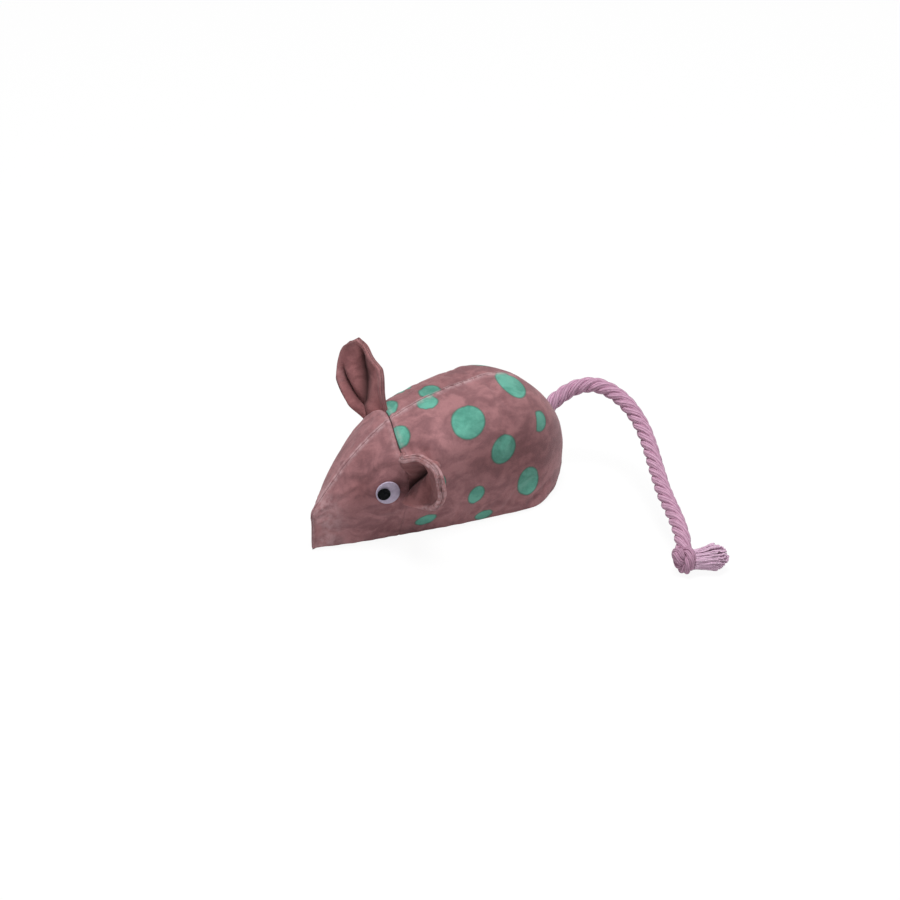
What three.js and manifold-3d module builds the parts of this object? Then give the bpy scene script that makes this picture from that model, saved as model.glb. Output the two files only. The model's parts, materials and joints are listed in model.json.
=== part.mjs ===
// A stuffed velvet mouse for a cat: two spotted body panels and two plain head panels sewn round a flat base,
// folded cloth ears in the neck seam, eyes with loose pupils, and a rope tail with a knot and a frayed tuft.
// Millimetres, +Z up. The nose points to -X and the mouse's left side to -Y. The origin is the middle of the base.
import * as THREE from "three";
import { mergeVertices } from "three/addons/utils/BufferGeometryUtils.js";
import Module from "manifold-3d";

const wasm = await Module();
wasm.setup();

// Fits
const CLEARANCE = 0.3; // between pieces that touch
const OVERRUN = 3; // how far a cutting tool reaches past what it cuts
const NOSE_OVERRUN = 12; // the same for the regions that part the panels

// Stuffed body, over the cloth
const BODY_LENGTH = 92;
const BODY_HEIGHT = 39.7;
const BASE_HALF_WIDTH = 19.7;
const FLANK_HALF_WIDTH = 21.4; // the line that pulls the flanks out past the base
const NOSE_HEIGHT = 10.4; // the blunt end of the snout
const WIDEST_X = 24.4;
const HIGHEST_X = 17.4;
const PANEL_THICKNESS = 1.2;
const BASE_THICKNESS = 1.2;
const NOSE_HALF_ANGLE = THREE.MathUtils.degToRad(20);

// How full the body's outlines are: 1 is a straight run, 2 a round one, and more is boxier
const BASE_FRONT_POWER = 1.32;
const BASE_REAR_POWER = 1.5;
const FLANK_FRONT_POWER = 3.7;
const FLANK_REAR_POWER = 2.25;
const BACK_FRONT_POWER = 2.99;
const BACK_REAR_POWER = 2.1;
const FRONT_SHARE = 0.6; // of the loft's steps, from the nose to the widest place
const HEAD_FLANK_SHARE = 0.64; // of the height, where the flank is pulled out
const BODY_FLANK_SHARE = 0.78;
const HEAD_SHOULDER_SHARE = 0.91; // of the flank's width, how far the shoulder reaches
const BODY_SHOULDER_SHARE = 0.94;
const SHOULDER_HEIGHT_SHARE = 0.986;
const BODY_STEPS = 34;
const SECTION_STEPS = 11;

// Seam between head and body, seen from above: it wanders from side to side of the back seam
const NECK_SEAM_X = -16.3;
const NECK_SEAM_WANDER = 4;
const NECK_WIDTH_SHARES = [-1.6, -1, -0.56, -0.36, 0, 0.2, 0.38, 0.54, 1, 1.6];
const NECK_WANDER_SHARES = [-0.4, -0.5, -0.97, -0.72, 0, 0.36, 0.52, 0.1, -0.2, -0.2];
const NECK_STEPS = 28;

// Ears: a front and a back leaf of cloth, sewn round the edge and let into the neck seam
const EAR_LENGTH = 23;
const EAR_HALF_WIDTH = 9.3;
const EAR_ROOT_HALF_WIDTH = 3;
const EAR_TIP_HALF_WIDTH = 2.2;
const EAR_CLOTH = 0.9;
const EAR_PINCH_SHARE = 0.66; // of the cloth's thickness left where the seam pinches it
const EAR_PINCH_LENGTH_SHARE = 0.16; // of the ear's length, over which it fills out again
const EAR_WIDEST_SHARE = 0.56;
const EAR_FOLD_DEPTH = 1.1; // of the crease down the middle
const EAR_FOLD_WIDTH_SHARE = 0.3;
const EAR_LEFT_ROOT_SHARE = 0.6297; // of the body's height, where the ear is let in
const EAR_RIGHT_ROOT_SHARE = 0.8312;
const EAR_LEFT_CUP = THREE.MathUtils.degToRad(62);
const EAR_RIGHT_CUP = THREE.MathUtils.degToRad(42);
const EAR_LEFT_CURL = THREE.MathUtils.degToRad(36);
const EAR_RIGHT_CURL = THREE.MathUtils.degToRad(26);
const EAR_LEFT_TWIST = THREE.MathUtils.degToRad(0); // of the leaf about its own length
const EAR_RIGHT_TWIST = THREE.MathUtils.degToRad(-16);
const EAR_LEFT_LEAN = THREE.MathUtils.degToRad(26); // back from square to the cloth
const EAR_RIGHT_LEAN = THREE.MathUtils.degToRad(42);
const EAR_MOST_LEAN = THREE.MathUtils.degToRad(54); // at the end of the flex
const EAR_ROOT_SPAN = 1.5; // of seam, over which the root's direction is taken
const EAR_STEPS = 13;
const EAR_CROSS_STEPS = 12;

// Eyes: a white disc, a loose black pupil and a clear cover
const EYE_DIAMETER = 7.6;
const EYE_DISC_THICKNESS = 0.5;
const EYE_COVER_HEIGHT = 1.2;
const EYE_COVER_WALL = 0.3;
const EYE_DOME_RISE = 0.3;
const PUPIL_DIAMETER = 4.2;
const PUPIL_THICKNESS = 0.3;
const PUPIL_PLAY = 0.2; // left between the pupil's edge and the cover
const EYE_X = -26.2;
const EYE_LEFT_HEIGHT = 19.6;
const EYE_RIGHT_HEIGHT = 15.5;
const ROUND_STEPS = 24;
const BALL_STEPS = 16; // round the soft lumps

// Stuffing
const WAD_SPLIT_X = -6;
const CATNIP_LENGTH = 15; // along the body
const CATNIP_HALF_WIDTH = 9;
const CATNIP_HALF_HEIGHT = 8;
const CATNIP_CENTRE_HEIGHT = 18;

// Rope tail
const ROPE_DIAMETER = 4.8;
const TAIL_SWING = THREE.MathUtils.degToRad(25); // to each side
const INNER_END_LENGTH = 14;
const INNER_KNOT_DIAMETER = 9;
const ROPE_SIDES = 10;
const ROPE_STEPS = 14;
const TAIL_ROOT_HEIGHT = 19.6;
const TAIL_ROOT_DEPTH = 0.5; // under the cloth's outer face
// Past its root: along X and Y from the root, and the height over the floor
const ROPE_ROUTE = [
  [5.5, -0.5, 23.1],
  [10.4, -2.5, 25.9],
  [14.7, -6.5, 27.4],
  [17.4, -11.8, 26.7],
  [18.5, -17.5, 25.0],
  [18.4, -23.1, 22.7],
  [17.2, -28.6, 20.4],
  [15.2, -33.9, 18.2],
  [12.8, -39.1, 16.1],
  [10.3, -44.3, 14.2],
  [7.8, -49.5, 12.5],
  [5.6, -55.0, 10.9],
  [3.5, -60.5, 9.6],
  [1.1, -65.7, 8.6],
  [-1.2, -70.0, 7.2],
  [-3.5, -73.3, 5.7],
];
const KNOT_CENTRE = [-5.2, -75.6, 4.2]; // measured as the route is
const KNOT_WIDTH = 7.6;
const KNOT_HEIGHT = 8.8;
const KNOT_WRAP_THICKNESS = 4.2;
const KNOT_SOCKET_DEPTH = 1;
const TUFT_LENGTH = 11;
const TUFT_ROOT_RADIUS = 2.3;
const TUFT_RADIUS = 4.2;
const TUFT_HEADING = THREE.MathUtils.degToRad(-25); // from +X towards the mouse's left

// Finishes
const plainVelvet = new THREE.MeshStandardMaterial({ color: 0x9a6a6e, roughness: 0.95, metalness: 0 });
const spottedVelvet = new THREE.MeshStandardMaterial({ color: 0x8d5f63, roughness: 0.95, metalness: 0 });
const earVelvet = new THREE.MeshStandardMaterial({ color: 0x8a5c5f, roughness: 0.95, metalness: 0 });
const whitePlastic = new THREE.MeshStandardMaterial({ color: 0xd9d3dc, roughness: 0.4, metalness: 0 });
const blackPlastic = new THREE.MeshStandardMaterial({ color: 0x0b0d0f, roughness: 0.35, metalness: 0 });
const clearPlastic = new THREE.MeshStandardMaterial({
  color: 0xf4f6f8,
  roughness: 0.1,
  metalness: 0,
  transparent: true,
  opacity: 0.3,
});
const polyesterWad = new THREE.MeshStandardMaterial({ color: 0xf0efec, roughness: 1, metalness: 0 });
const driedLeaf = new THREE.MeshStandardMaterial({ color: 0x6b7a45, roughness: 1, metalness: 0 });
const cottonRope = new THREE.MeshStandardMaterial({ color: 0xc9a2b8, roughness: 0.9, metalness: 0 });

const mouse = new THREE.Group();
const vector = (point) => new THREE.Vector3(...point);

// Solids

// Corners of a geometry joined where they meet, with the triangles that fall flat left out.
function solidOf(geometry) {
  const bare = geometry.clone();
  bare.deleteAttribute("normal");
  bare.deleteAttribute("uv");
  const merged = mergeVertices(bare, CLEARANCE / 1000);
  const corners = merged.index.array;
  const kept = [];
  for (let i = 0; i < corners.length; i += 3) {
    const [a, b, c] = corners.slice(i, i + 3);
    if (a !== b && b !== c && c !== a) kept.push(a, b, c);
  }
  const build = (triangles) =>
    new wasm.Manifold(
      new wasm.Mesh({
        numProp: 3,
        vertProperties: merged.attributes.position.array,
        triVerts: new Uint32Array(triangles),
      }),
    );
  const made = build(kept);
  return made.volume() < 0 ? build(kept.reverse()) : made;
}

function geometryOf(solid) {
  const mesh = solid.getMesh();
  const geometry = new THREE.BufferGeometry();
  geometry.setAttribute("position", new THREE.BufferAttribute(mesh.vertProperties, mesh.numProp));
  geometry.setIndex(new THREE.BufferAttribute(mesh.triVerts, 1));
  geometry.computeVertexNormals();
  return geometry;
}

function addPiece(name, solid, material, parent = mouse) {
  const mesh = new THREE.Mesh(geometryOf(solid), material);
  mesh.name = name;
  parent.add(mesh);
  return mesh;
}

// A closed skin over a row of rings with as many points each. A ring may shrink to a line or a point.
function loftRings(rings, { capStart = false, capEnd = false } = {}) {
  const count = rings[0].length;
  const points = rings.flat();
  const triangles = [];
  for (let i = 0; i + 1 < rings.length; i++)
    for (let j = 0; j < count; j++) {
      const a = i * count + j;
      const b = i * count + ((j + 1) % count);
      triangles.push(a, b, b + count, a, b + count, a + count);
    }
  const fan = (first, flip) => {
    for (let j = 1; j + 1 < count; j++)
      triangles.push(first, ...(flip ? [first + j + 1, first + j] : [first + j, first + j + 1]));
  };
  if (capStart) fan(0, true);
  if (capEnd) fan((rings.length - 1) * count, false);
  const geometry = new THREE.BufferGeometry().setFromPoints(points);
  geometry.setIndex(triangles);
  return solidOf(geometry);
}

// A prism over an outline in plan.
function prism(outline, bottom, top) {
  const shape = new THREE.Shape(outline);
  const geometry = new THREE.ExtrudeGeometry(shape, { depth: top - bottom, bevelEnabled: false });
  return solidOf(geometry.translate(0, 0, bottom));
}

// A cylinder or cone frustum round the line from one point to another.
function rod(from, to, radius, endRadius = radius) {
  const run = to.clone().sub(from);
  const geometry = new THREE.CylinderGeometry(endRadius, radius, run.length(), ROUND_STEPS);
  const turn = new THREE.Quaternion().setFromUnitVectors(new THREE.Vector3(0, 1, 0), run.clone().normalize());
  geometry.applyQuaternion(turn);
  geometry.translate(...from.clone().add(to).divideScalar(2).toArray());
  return solidOf(geometry);
}

function ball(centre, radius) {
  const geometry = new THREE.SphereGeometry(radius, BALL_STEPS, BALL_STEPS / 2);
  return solidOf(geometry.translate(...centre.toArray()));
}

// Stuffed body

// The body's outer form, or the same form drawn in by an inset all over. Sides are +1 for right and -1 for left.
class BodyForm {
  constructor(inset) {
    this.noseX = -BODY_LENGTH / 2 + inset / Math.sin(NOSE_HALF_ANGLE);
    this.rumpX = BODY_LENGTH / 2 - inset;
    this.baseHalfWidth = BASE_HALF_WIDTH - inset;
    this.flankHalfWidth = FLANK_HALF_WIDTH - inset;
    this.height = BODY_HEIGHT - inset;
  }

  // The four points that shape the section at a share u of the way from nose to rump.
  section(u, side) {
    const front = Math.min(u / FRONT_SHARE, 1);
    const rear = (Math.max(u - FRONT_SHARE, 0) / (1 - FRONT_SHARE)) * (Math.PI / 2);
    const swell = (power) => 1 - Math.pow(1 - front, power);
    const along = (power) => Math.pow(Math.sin(rear), 2 / power);
    const across = (power) => Math.pow(Math.max(Math.cos(rear), 0), 2 / power);
    const mix = (head, body) => head + (body - head) * front;
    const baseX = mix(this.noseX, WIDEST_X) + (this.rumpX - WIDEST_X) * along(BASE_REAR_POWER);
    const backX = mix(this.noseX, HIGHEST_X) + (this.rumpX - HIGHEST_X) * along(BACK_REAR_POWER);
    const baseY = this.baseHalfWidth * swell(BASE_FRONT_POWER) * across(BASE_REAR_POWER);
    const flankY = this.flankHalfWidth * swell(FLANK_FRONT_POWER) * across(FLANK_REAR_POWER);
    const rise = NOSE_HEIGHT + (this.height - NOSE_HEIGHT) * swell(BACK_FRONT_POWER);
    const backZ = rise * across(BACK_REAR_POWER);
    const lift = mix(HEAD_FLANK_SHARE, BODY_FLANK_SHARE);
    const reach = mix(HEAD_SHOULDER_SHARE, BODY_SHOULDER_SHARE);
    return [
      new THREE.Vector3(baseX, side * baseY, 0),
      new THREE.Vector3(baseX + (backX - baseX) * lift, side * flankY, lift * backZ),
      new THREE.Vector3(backX, side * reach * flankY, SHOULDER_HEIGHT_SHARE * backZ),
      new THREE.Vector3(backX, 0, backZ),
    ];
  }

  // v runs from the base edge up to the back seam.
  point(u, v, side) {
    return new THREE.CubicBezierCurve3(...this.section(u, side)).getPoint(v);
  }

  normal(u, v, side) {
    const step = 1 / (BODY_STEPS * SECTION_STEPS);
    const alongBody = this.point(u + step, v, side).sub(this.point(u - step, v, side));
    const upFlank = this.point(u, v + step, side).sub(this.point(u, v - step, side));
    return alongBody.cross(upFlank).multiplyScalar(-side).normalize();
  }

  solid() {
    const rings = [];
    for (let i = 0; i <= BODY_STEPS; i++) {
      const right = new THREE.CubicBezierCurve3(...this.section(i / BODY_STEPS, 1)).getPoints(SECTION_STEPS);
      const left = new THREE.CubicBezierCurve3(...this.section(i / BODY_STEPS, -1)).getPoints(SECTION_STEPS);
      rings.push([...left, ...right.reverse().slice(1)]);
    }
    return loftRings(rings);
  }

  // How far back the rump comes on the middle line, at a height.
  rumpAt(height) {
    const rear = Math.acos(Math.pow(height / this.height, BACK_REAR_POWER / 2));
    return HIGHEST_X + (this.rumpX - HIGHEST_X) * Math.pow(Math.sin(rear), 2 / BACK_REAR_POWER);
  }

  // The base's outline in plan.
  outline() {
    const edge = (side) => {
      const points = [];
      for (let i = 0; i <= BODY_STEPS; i++) points.push(this.section(i / BODY_STEPS, side)[0]);
      return points.map((p) => new THREE.Vector2(p.x, p.y));
    };
    return [...edge(-1), ...edge(1).reverse().slice(1, -1)];
  }

  // The place on one side where two measures of its point both come to zero.
  find(side, measures) {
    const spot = new THREE.Vector2(FRONT_SHARE / 2, 1 / 2);
    const step = 1 / (BODY_STEPS * SECTION_STEPS * SECTION_STEPS);
    for (let i = 0; i < BODY_STEPS; i++) {
      const at = (u, v) => measures(this.point(u, v, side));
      const [a, b] = at(spot.x, spot.y);
      const [au, bu] = at(spot.x + step, spot.y);
      const [av, bv] = at(spot.x, spot.y + step);
      const slopes = [(au - a) / step, (av - a) / step, (bu - b) / step, (bv - b) / step];
      const size = slopes[0] * slopes[3] - slopes[1] * slopes[2];
      const du = (a * slopes[3] - b * slopes[1]) / size;
      const dv = (b * slopes[0] - a * slopes[2]) / size;
      const limit = (value) => THREE.MathUtils.clamp(value, -1 / SECTION_STEPS, 1 / SECTION_STEPS);
      spot.set(
        THREE.MathUtils.clamp(spot.x - limit(du), step, 1 - step),
        THREE.MathUtils.clamp(spot.y - limit(dv), step, 1 - step),
      );
    }
    return spot;
  }
}

const skin = new BodyForm(0);
const lining = new BodyForm(PANEL_THICKNESS);

// Where the neck seam runs, seen from above.
const neckSeam = new THREE.CubicInterpolant(
  NECK_WIDTH_SHARES.map((share) => share * BASE_HALF_WIDTH),
  NECK_WANDER_SHARES.map((share) => NECK_SEAM_X + share * NECK_SEAM_WANDER),
  1,
);
const neckSeamX = (y) => neckSeam.evaluate(y)[0];

// All that lies ahead of the neck seam on one side, or behind it.
function panelRegion(side, ahead) {
  const inner = (side * CLEARANCE) / 2;
  const outer = side * (FLANK_HALF_WIDTH + OVERRUN);
  const sense = ahead ? -1 : 1;
  const seam = [];
  for (let i = 0; i <= NECK_STEPS; i++) {
    const y = inner + ((outer - inner) * i) / NECK_STEPS;
    seam.push(new THREE.Vector2(neckSeamX(y) + (sense * CLEARANCE) / 2, y));
  }
  const end = sense * (BODY_LENGTH / 2 + NOSE_OVERRUN);
  const outline = [...seam, new THREE.Vector2(end, outer), new THREE.Vector2(end, inner)];
  return prism(outline, -OVERRUN, BODY_HEIGHT + OVERRUN);
}

// Tail route and the hinge at its root
const tailRoot = new THREE.Vector3(skin.rumpAt(TAIL_ROOT_HEIGHT) - TAIL_ROOT_DEPTH, 0, TAIL_ROOT_HEIGHT);
const fromRoot = (point) => vector(point).add(tailRoot.clone().setZ(0));
const tailPoints = [tailRoot, ...ROPE_ROUTE.map(fromRoot)];
const tailRoute = new THREE.CatmullRomCurve3(tailPoints, false, "centripetal");
const tailExit = tailRoute.getTangentAt(0).setY(0).normalize();
const ropeRadius = ROPE_DIAMETER / 2;
const swingRadius = ropeRadius + CLEARANCE;
const holeRadius =
  ropeRadius / Math.cos(TAIL_SWING) + (PANEL_THICKNESS / 2) * Math.tan(TAIL_SWING) + CLEARANCE;
const tailHole = rod(
  tailRoot,
  tailRoot.clone().addScaledVector(tailExit, OVERRUN),
  holeRadius,
).add(rod(tailRoot.clone().addScaledVector(tailExit, -OVERRUN), tailRoot, holeRadius));

// Ears

// Where an ear is let into the neck seam, and the way the seam and the cloth face there.
function earRoot(side, height) {
  const onSeam = (z) => {
    const spot = skin.find(side, (p) => [p.x - neckSeamX(p.y), p.z - z]);
    return { spot, place: skin.point(spot.x, spot.y, side) };
  };
  const { spot, place } = onSeam(height);
  const up = onSeam(height + EAR_ROOT_SPAN).place.sub(onSeam(height - EAR_ROOT_SPAN).place).normalize();
  const out = skin.normal(spot.x, spot.y, side);
  out.addScaledVector(up, -out.dot(up)).normalize();
  return { place, up, out };
}

function earHalfWidth(a) {
  const toWidest = Math.min(a / EAR_WIDEST_SHARE, 1);
  const toTip = Math.max(a - EAR_WIDEST_SHARE, 0) / (1 - EAR_WIDEST_SHARE);
  const swell = Math.sin((toWidest * Math.PI) / 2);
  const fall = 1 - Math.sqrt(1 - toTip * toTip);
  const wide = EAR_ROOT_HALF_WIDTH + (EAR_HALF_WIDTH - EAR_ROOT_HALF_WIDTH) * swell;
  return wide - (EAR_HALF_WIDTH - EAR_TIP_HALF_WIDTH) * fall;
}

// The middle surface of an ear: X along the seam, Y to the hollow side and Z from root to tip.
// a runs from root to tip and b from edge to edge.
function earPoint(a, b, { cup, curl, twist }) {
  const half = earHalfWidth(a);
  const full = Math.sin(Math.PI * Math.sqrt(a));
  const bend = cup * Math.max(full, 1 / EAR_STEPS);
  const radius = half / bend;
  const free = Math.sin(Math.PI * a);
  const crease = EAR_FOLD_DEPTH * free * Math.exp(-Math.pow(b / EAR_FOLD_WIDTH_SHARE, 2));
  const turn = curl * a;
  const lift = (EAR_LENGTH * (1 - Math.cos(turn))) / curl;
  const flat = new THREE.Vector2(radius * Math.sin(bend * b), radius * (1 - Math.cos(bend * b)) - crease);
  const { x, y } = flat.rotateAround(new THREE.Vector2(), twist * free);
  return new THREE.Vector3(
    x,
    lift + y * Math.cos(turn),
    (EAR_LENGTH * Math.sin(turn)) / curl - y * Math.sin(turn),
  );
}

// One leaf of an ear, between two depths measured square to the middle surface.
function earLeaf(bends, facing, nearDepth, farDepth) {
  const rings = [];
  const step = 1 / (EAR_STEPS * EAR_CROSS_STEPS);
  for (let i = 0; i <= EAR_STEPS; i++) {
    const near = [];
    const far = [];
    for (let j = 0; j <= EAR_CROSS_STEPS; j++) {
      const a = i / EAR_STEPS;
      const b = (2 * j) / EAR_CROSS_STEPS - 1;
      const inA = Math.min(Math.max(a, step), 1 - step);
      const place = earPoint(a, b, bends);
      const upLeaf = earPoint(inA + step, b, bends).sub(earPoint(inA - step, b, bends));
      const crossLeaf = earPoint(a, b + step, bends).sub(earPoint(a, b - step, bends));
      const square = upLeaf.cross(crossLeaf).normalize();
      const full = EAR_PINCH_SHARE + (1 - EAR_PINCH_SHARE) * Math.min(a / EAR_PINCH_LENGTH_SHARE, 1);
      near.push(place.clone().addScaledVector(square, nearDepth));
      far.push(place.clone().addScaledVector(square, nearDepth + (farDepth - nearDepth) * full));
    }
    rings.push([...near, ...far.reverse()].map((p) => p.setY(p.y * facing)));
  }
  return loftRings(rings, { capStart: true, capEnd: true });
}

const earRootDepth = EAR_CLOTH * EAR_PINCH_SHARE + CLEARANCE / 2;
const notchRadius = earRootDepth / Math.cos(EAR_MOST_LEAN) + CLEARANCE;

function makeEar(name, side, height, lean, bends) {
  const { place, up, out } = earRoot(side, height);
  const ear = new THREE.Group();
  const rearward = new THREE.Vector3().crossVectors(out, up).multiplyScalar(side);
  const along = out.clone().multiplyScalar(Math.cos(lean)).addScaledVector(rearward, Math.sin(lean));
  const across = new THREE.Vector3().crossVectors(along, up);
  ear.position.copy(place);
  ear.quaternion.setFromRotationMatrix(new THREE.Matrix4().makeBasis(up, across, along));
  const inner = CLEARANCE / 2;
  const outer = inner + EAR_CLOTH;
  addPiece(name + "_front", earLeaf(bends, -side, inner, outer), earVelvet, ear);
  addPiece(name + "_back", earLeaf(bends, -side, -inner, -outer), earVelvet, ear);
  mouse.add(ear);
  const halfNotch = EAR_ROOT_HALF_WIDTH + CLEARANCE;
  const low = place.clone().addScaledVector(up, -halfNotch);
  const high = place.clone().addScaledVector(up, halfNotch);
  return rod(low, high, notchRadius);
}

const leftNotch = makeEar("ear_left", -1, EAR_LEFT_ROOT_SHARE * BODY_HEIGHT, EAR_LEFT_LEAN, {
  cup: EAR_LEFT_CUP,
  curl: EAR_LEFT_CURL,
  twist: EAR_LEFT_TWIST,
});
const rightNotch = makeEar("ear_right", 1, EAR_RIGHT_ROOT_SHARE * BODY_HEIGHT, EAR_RIGHT_LEAN, {
  cup: EAR_RIGHT_CUP,
  curl: EAR_RIGHT_CURL,
  twist: EAR_RIGHT_TWIST,
});
const earNotches = leftNotch.add(rightNotch);

// Cloth shell: head and body panels, left and right, round an open bottom that the base panel fills
const cavity = lining.solid().add(prism(lining.outline(), -OVERRUN, CLEARANCE));
const shell = skin.solid().subtract(cavity).subtract(earNotches).subtract(tailHole);
for (const [word, side] of [
  ["left", -1],
  ["right", 1],
]) {
  addPiece("head_" + word, shell.intersect(panelRegion(side, true)), plainVelvet);
  addPiece("body_" + word, shell.intersect(panelRegion(side, false)), spottedVelvet);
}
addPiece("base_panel", prism(new BodyForm(PANEL_THICKNESS + CLEARANCE).outline(), 0, BASE_THICKNESS), plainVelvet);

// Eyes

// The middle of an eye, on its own axis +Z: a disc, a pupil that rolls round in the cover, and the cover.
function makeEye(name, side, height) {
  const spot = skin.find(side, (p) => [p.x - EYE_X, p.z - height]);
  const place = skin.point(spot.x, spot.y, side);
  const out = skin.normal(spot.x, spot.y, side);
  const eyeRadius = EYE_DIAMETER / 2;
  const forward = new THREE.Vector3(-1, 0, 0);
  forward.addScaledVector(out, -forward.dot(out)).normalize();
  const eye = new THREE.Group();
  const third = new THREE.Vector3().crossVectors(out, forward);
  eye.quaternion.setFromRotationMatrix(new THREE.Matrix4().makeBasis(forward, third, out));
  eye.position.copy(place).addScaledVector(out, CLEARANCE);
  const disc = new THREE.CylinderGeometry(eyeRadius, eyeRadius, EYE_DISC_THICKNESS, ROUND_STEPS);
  disc.rotateX(Math.PI / 2).translate(0, 0, EYE_DISC_THICKNESS / 2);
  addPiece(name + "_disc", solidOf(disc), whitePlastic, eye);
  const discTop = EYE_DISC_THICKNESS + CLEARANCE;
  const innerRadius = eyeRadius - EYE_COVER_WALL;
  const pupilRadius = PUPIL_DIAMETER / 2;
  const pupil = new THREE.CylinderGeometry(pupilRadius, pupilRadius, PUPIL_THICKNESS, ROUND_STEPS);
  pupil.rotateX(Math.PI / 2).translate(innerRadius - PUPIL_PLAY - pupilRadius, 0, discTop + PUPIL_THICKNESS / 2);
  addPiece(name + "_pupil", solidOf(pupil), blackPlastic, eye);
  const rimTop = discTop + EYE_COVER_HEIGHT - EYE_DOME_RISE;
  const profile = [
    [innerRadius, discTop],
    [eyeRadius, discTop],
    [eyeRadius, rimTop],
    [eyeRadius * Math.SQRT1_2, rimTop + EYE_DOME_RISE / 2],
    [0, rimTop + EYE_DOME_RISE],
    [0, rimTop + EYE_DOME_RISE - EYE_COVER_WALL],
    [innerRadius * Math.SQRT1_2, rimTop + EYE_DOME_RISE / 2 - EYE_COVER_WALL],
    [innerRadius, rimTop - EYE_COVER_WALL],
    [innerRadius, discTop],
  ];
  const cover = new THREE.LatheGeometry(
    profile.map((p) => new THREE.Vector2(...p)),
    ROUND_STEPS,
  ).rotateX(Math.PI / 2);
  addPiece(name + "_cover", solidOf(cover), clearPlastic, eye);
  mouse.add(eye);
}
makeEye("eye_left", -1, EYE_LEFT_HEIGHT);
makeEye("eye_right", 1, EYE_RIGHT_HEIGHT);

// Stuffing: two wads round a pocket of dried leaves, with a channel for the rope's inner end
const wad = new BodyForm(PANEL_THICKNESS + CLEARANCE)
  .solid()
  .subtract(prism(new BodyForm(-OVERRUN).outline(), -OVERRUN, BASE_THICKNESS + CLEARANCE));
const innerKnotRadius = INNER_KNOT_DIAMETER / 2;
const innerEnd = tailRoot.clone().addScaledVector(tailExit, -INNER_END_LENGTH);
const channel = rod(innerEnd, tailRoot, ropeRadius + CLEARANCE)
  .add(ball(innerEnd, innerKnotRadius + CLEARANCE))
  .add(tailHole)
  .add(ball(tailRoot, swingRadius));
const leafCentre = new THREE.Vector3(WAD_SPLIT_X, 0, CATNIP_CENTRE_HEIGHT);
const leafBall = (grow) => {
  const geometry = new THREE.SphereGeometry(1, BALL_STEPS, BALL_STEPS / 2);
  geometry.scale(CATNIP_LENGTH / 2 + grow, CATNIP_HALF_WIDTH + grow, CATNIP_HALF_HEIGHT + grow);
  return solidOf(geometry.translate(...leafCentre.toArray()));
};
const stuffing = wad.subtract(channel).subtract(earNotches).subtract(leafBall(CLEARANCE));
const halfSpace = (fromX, toX) => {
  const reach = FLANK_HALF_WIDTH + OVERRUN;
  const geometry = new THREE.BoxGeometry(toX - fromX, 2 * reach, BODY_HEIGHT + OVERRUN);
  return solidOf(geometry.translate((fromX + toX) / 2, 0, BODY_HEIGHT / 2));
};
const wadEnd = BODY_LENGTH / 2 + OVERRUN;
const frontWad = stuffing.intersect(halfSpace(-wadEnd, WAD_SPLIT_X - CLEARANCE / 2));
addPiece("filling_front", frontWad, polyesterWad);
const rearWad = stuffing.intersect(halfSpace(WAD_SPLIT_X + CLEARANCE / 2, wadEnd));
addPiece("filling_rear", rearWad, polyesterWad);
addPiece("catnip_leaves", leafBall(0), driedLeaf);

// Rope tail
const innerRope = rod(innerEnd, tailRoot, ropeRadius).add(ball(innerEnd, innerKnotRadius));
addPiece("tail_inner_end", innerRope.subtract(ball(tailRoot, swingRadius)), cottonRope);

const knotCentre = fromRoot(KNOT_CENTRE);
const tailEnd = tailPoints[tailPoints.length - 1];
const intoKnot = knotCentre.clone().sub(tailEnd).normalize();
const ropeSection = new THREE.Shape();
ropeSection.absarc(0, 0, ropeRadius, 0, 2 * Math.PI);
const ropeTube = new THREE.ExtrudeGeometry(new THREE.Shape(ropeSection.getPoints(ROPE_SIDES / 2)), {
  steps: ROPE_STEPS,
  extrudePath: tailRoute,
  bevelEnabled: false,
});
addPiece("tail_rope", solidOf(ropeTube).add(ball(tailRoot, ropeRadius)), cottonRope);

// The knot: a round core with one turn of rope wrapped over it, and a socket that the rope goes into
const tuftAlong = new THREE.Vector3(Math.cos(TUFT_HEADING), Math.sin(TUFT_HEADING), 0);
const core = new THREE.SphereGeometry(1, BALL_STEPS, BALL_STEPS / 2);
core.scale(KNOT_WIDTH / 2, KNOT_WIDTH / 2, KNOT_HEIGHT / 2);
core.translate(...knotCentre.toArray());
const wrapRadius = KNOT_WRAP_THICKNESS / 2;
const wrap = new THREE.TorusGeometry(KNOT_HEIGHT / 2 - wrapRadius, wrapRadius, ROPE_SIDES, BALL_STEPS);
wrap.applyQuaternion(new THREE.Quaternion().setFromUnitVectors(new THREE.Vector3(0, 0, 1), tuftAlong));
wrap.translate(...knotCentre.toArray());
const floorCut = prism(
  [
    [-1, -1],
    [1, -1],
    [1, 1],
    [-1, 1],
  ].map(([x, y]) => new THREE.Vector2(x, y).multiplyScalar(BODY_LENGTH * 2)),
  -BODY_HEIGHT,
  0,
);
const socket = rod(
  tailEnd.clone().addScaledVector(intoKnot, -OVERRUN),
  tailEnd.clone().addScaledVector(intoKnot, CLEARANCE),
  ropeRadius + CLEARANCE,
);
const tuftStart = knotCentre.clone().addScaledVector(tuftAlong, KNOT_WIDTH / 2 - KNOT_SOCKET_DEPTH);
const tuftSocket = rod(
  tuftStart.clone().addScaledVector(tuftAlong, -CLEARANCE),
  tuftStart.clone().addScaledVector(tuftAlong, OVERRUN + KNOT_SOCKET_DEPTH),
  TUFT_ROOT_RADIUS + CLEARANCE * 2,
);
const knot = solidOf(core).add(solidOf(wrap)).subtract(socket).subtract(tuftSocket).subtract(floorCut);
addPiece("tail_knot", knot, cottonRope);

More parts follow.
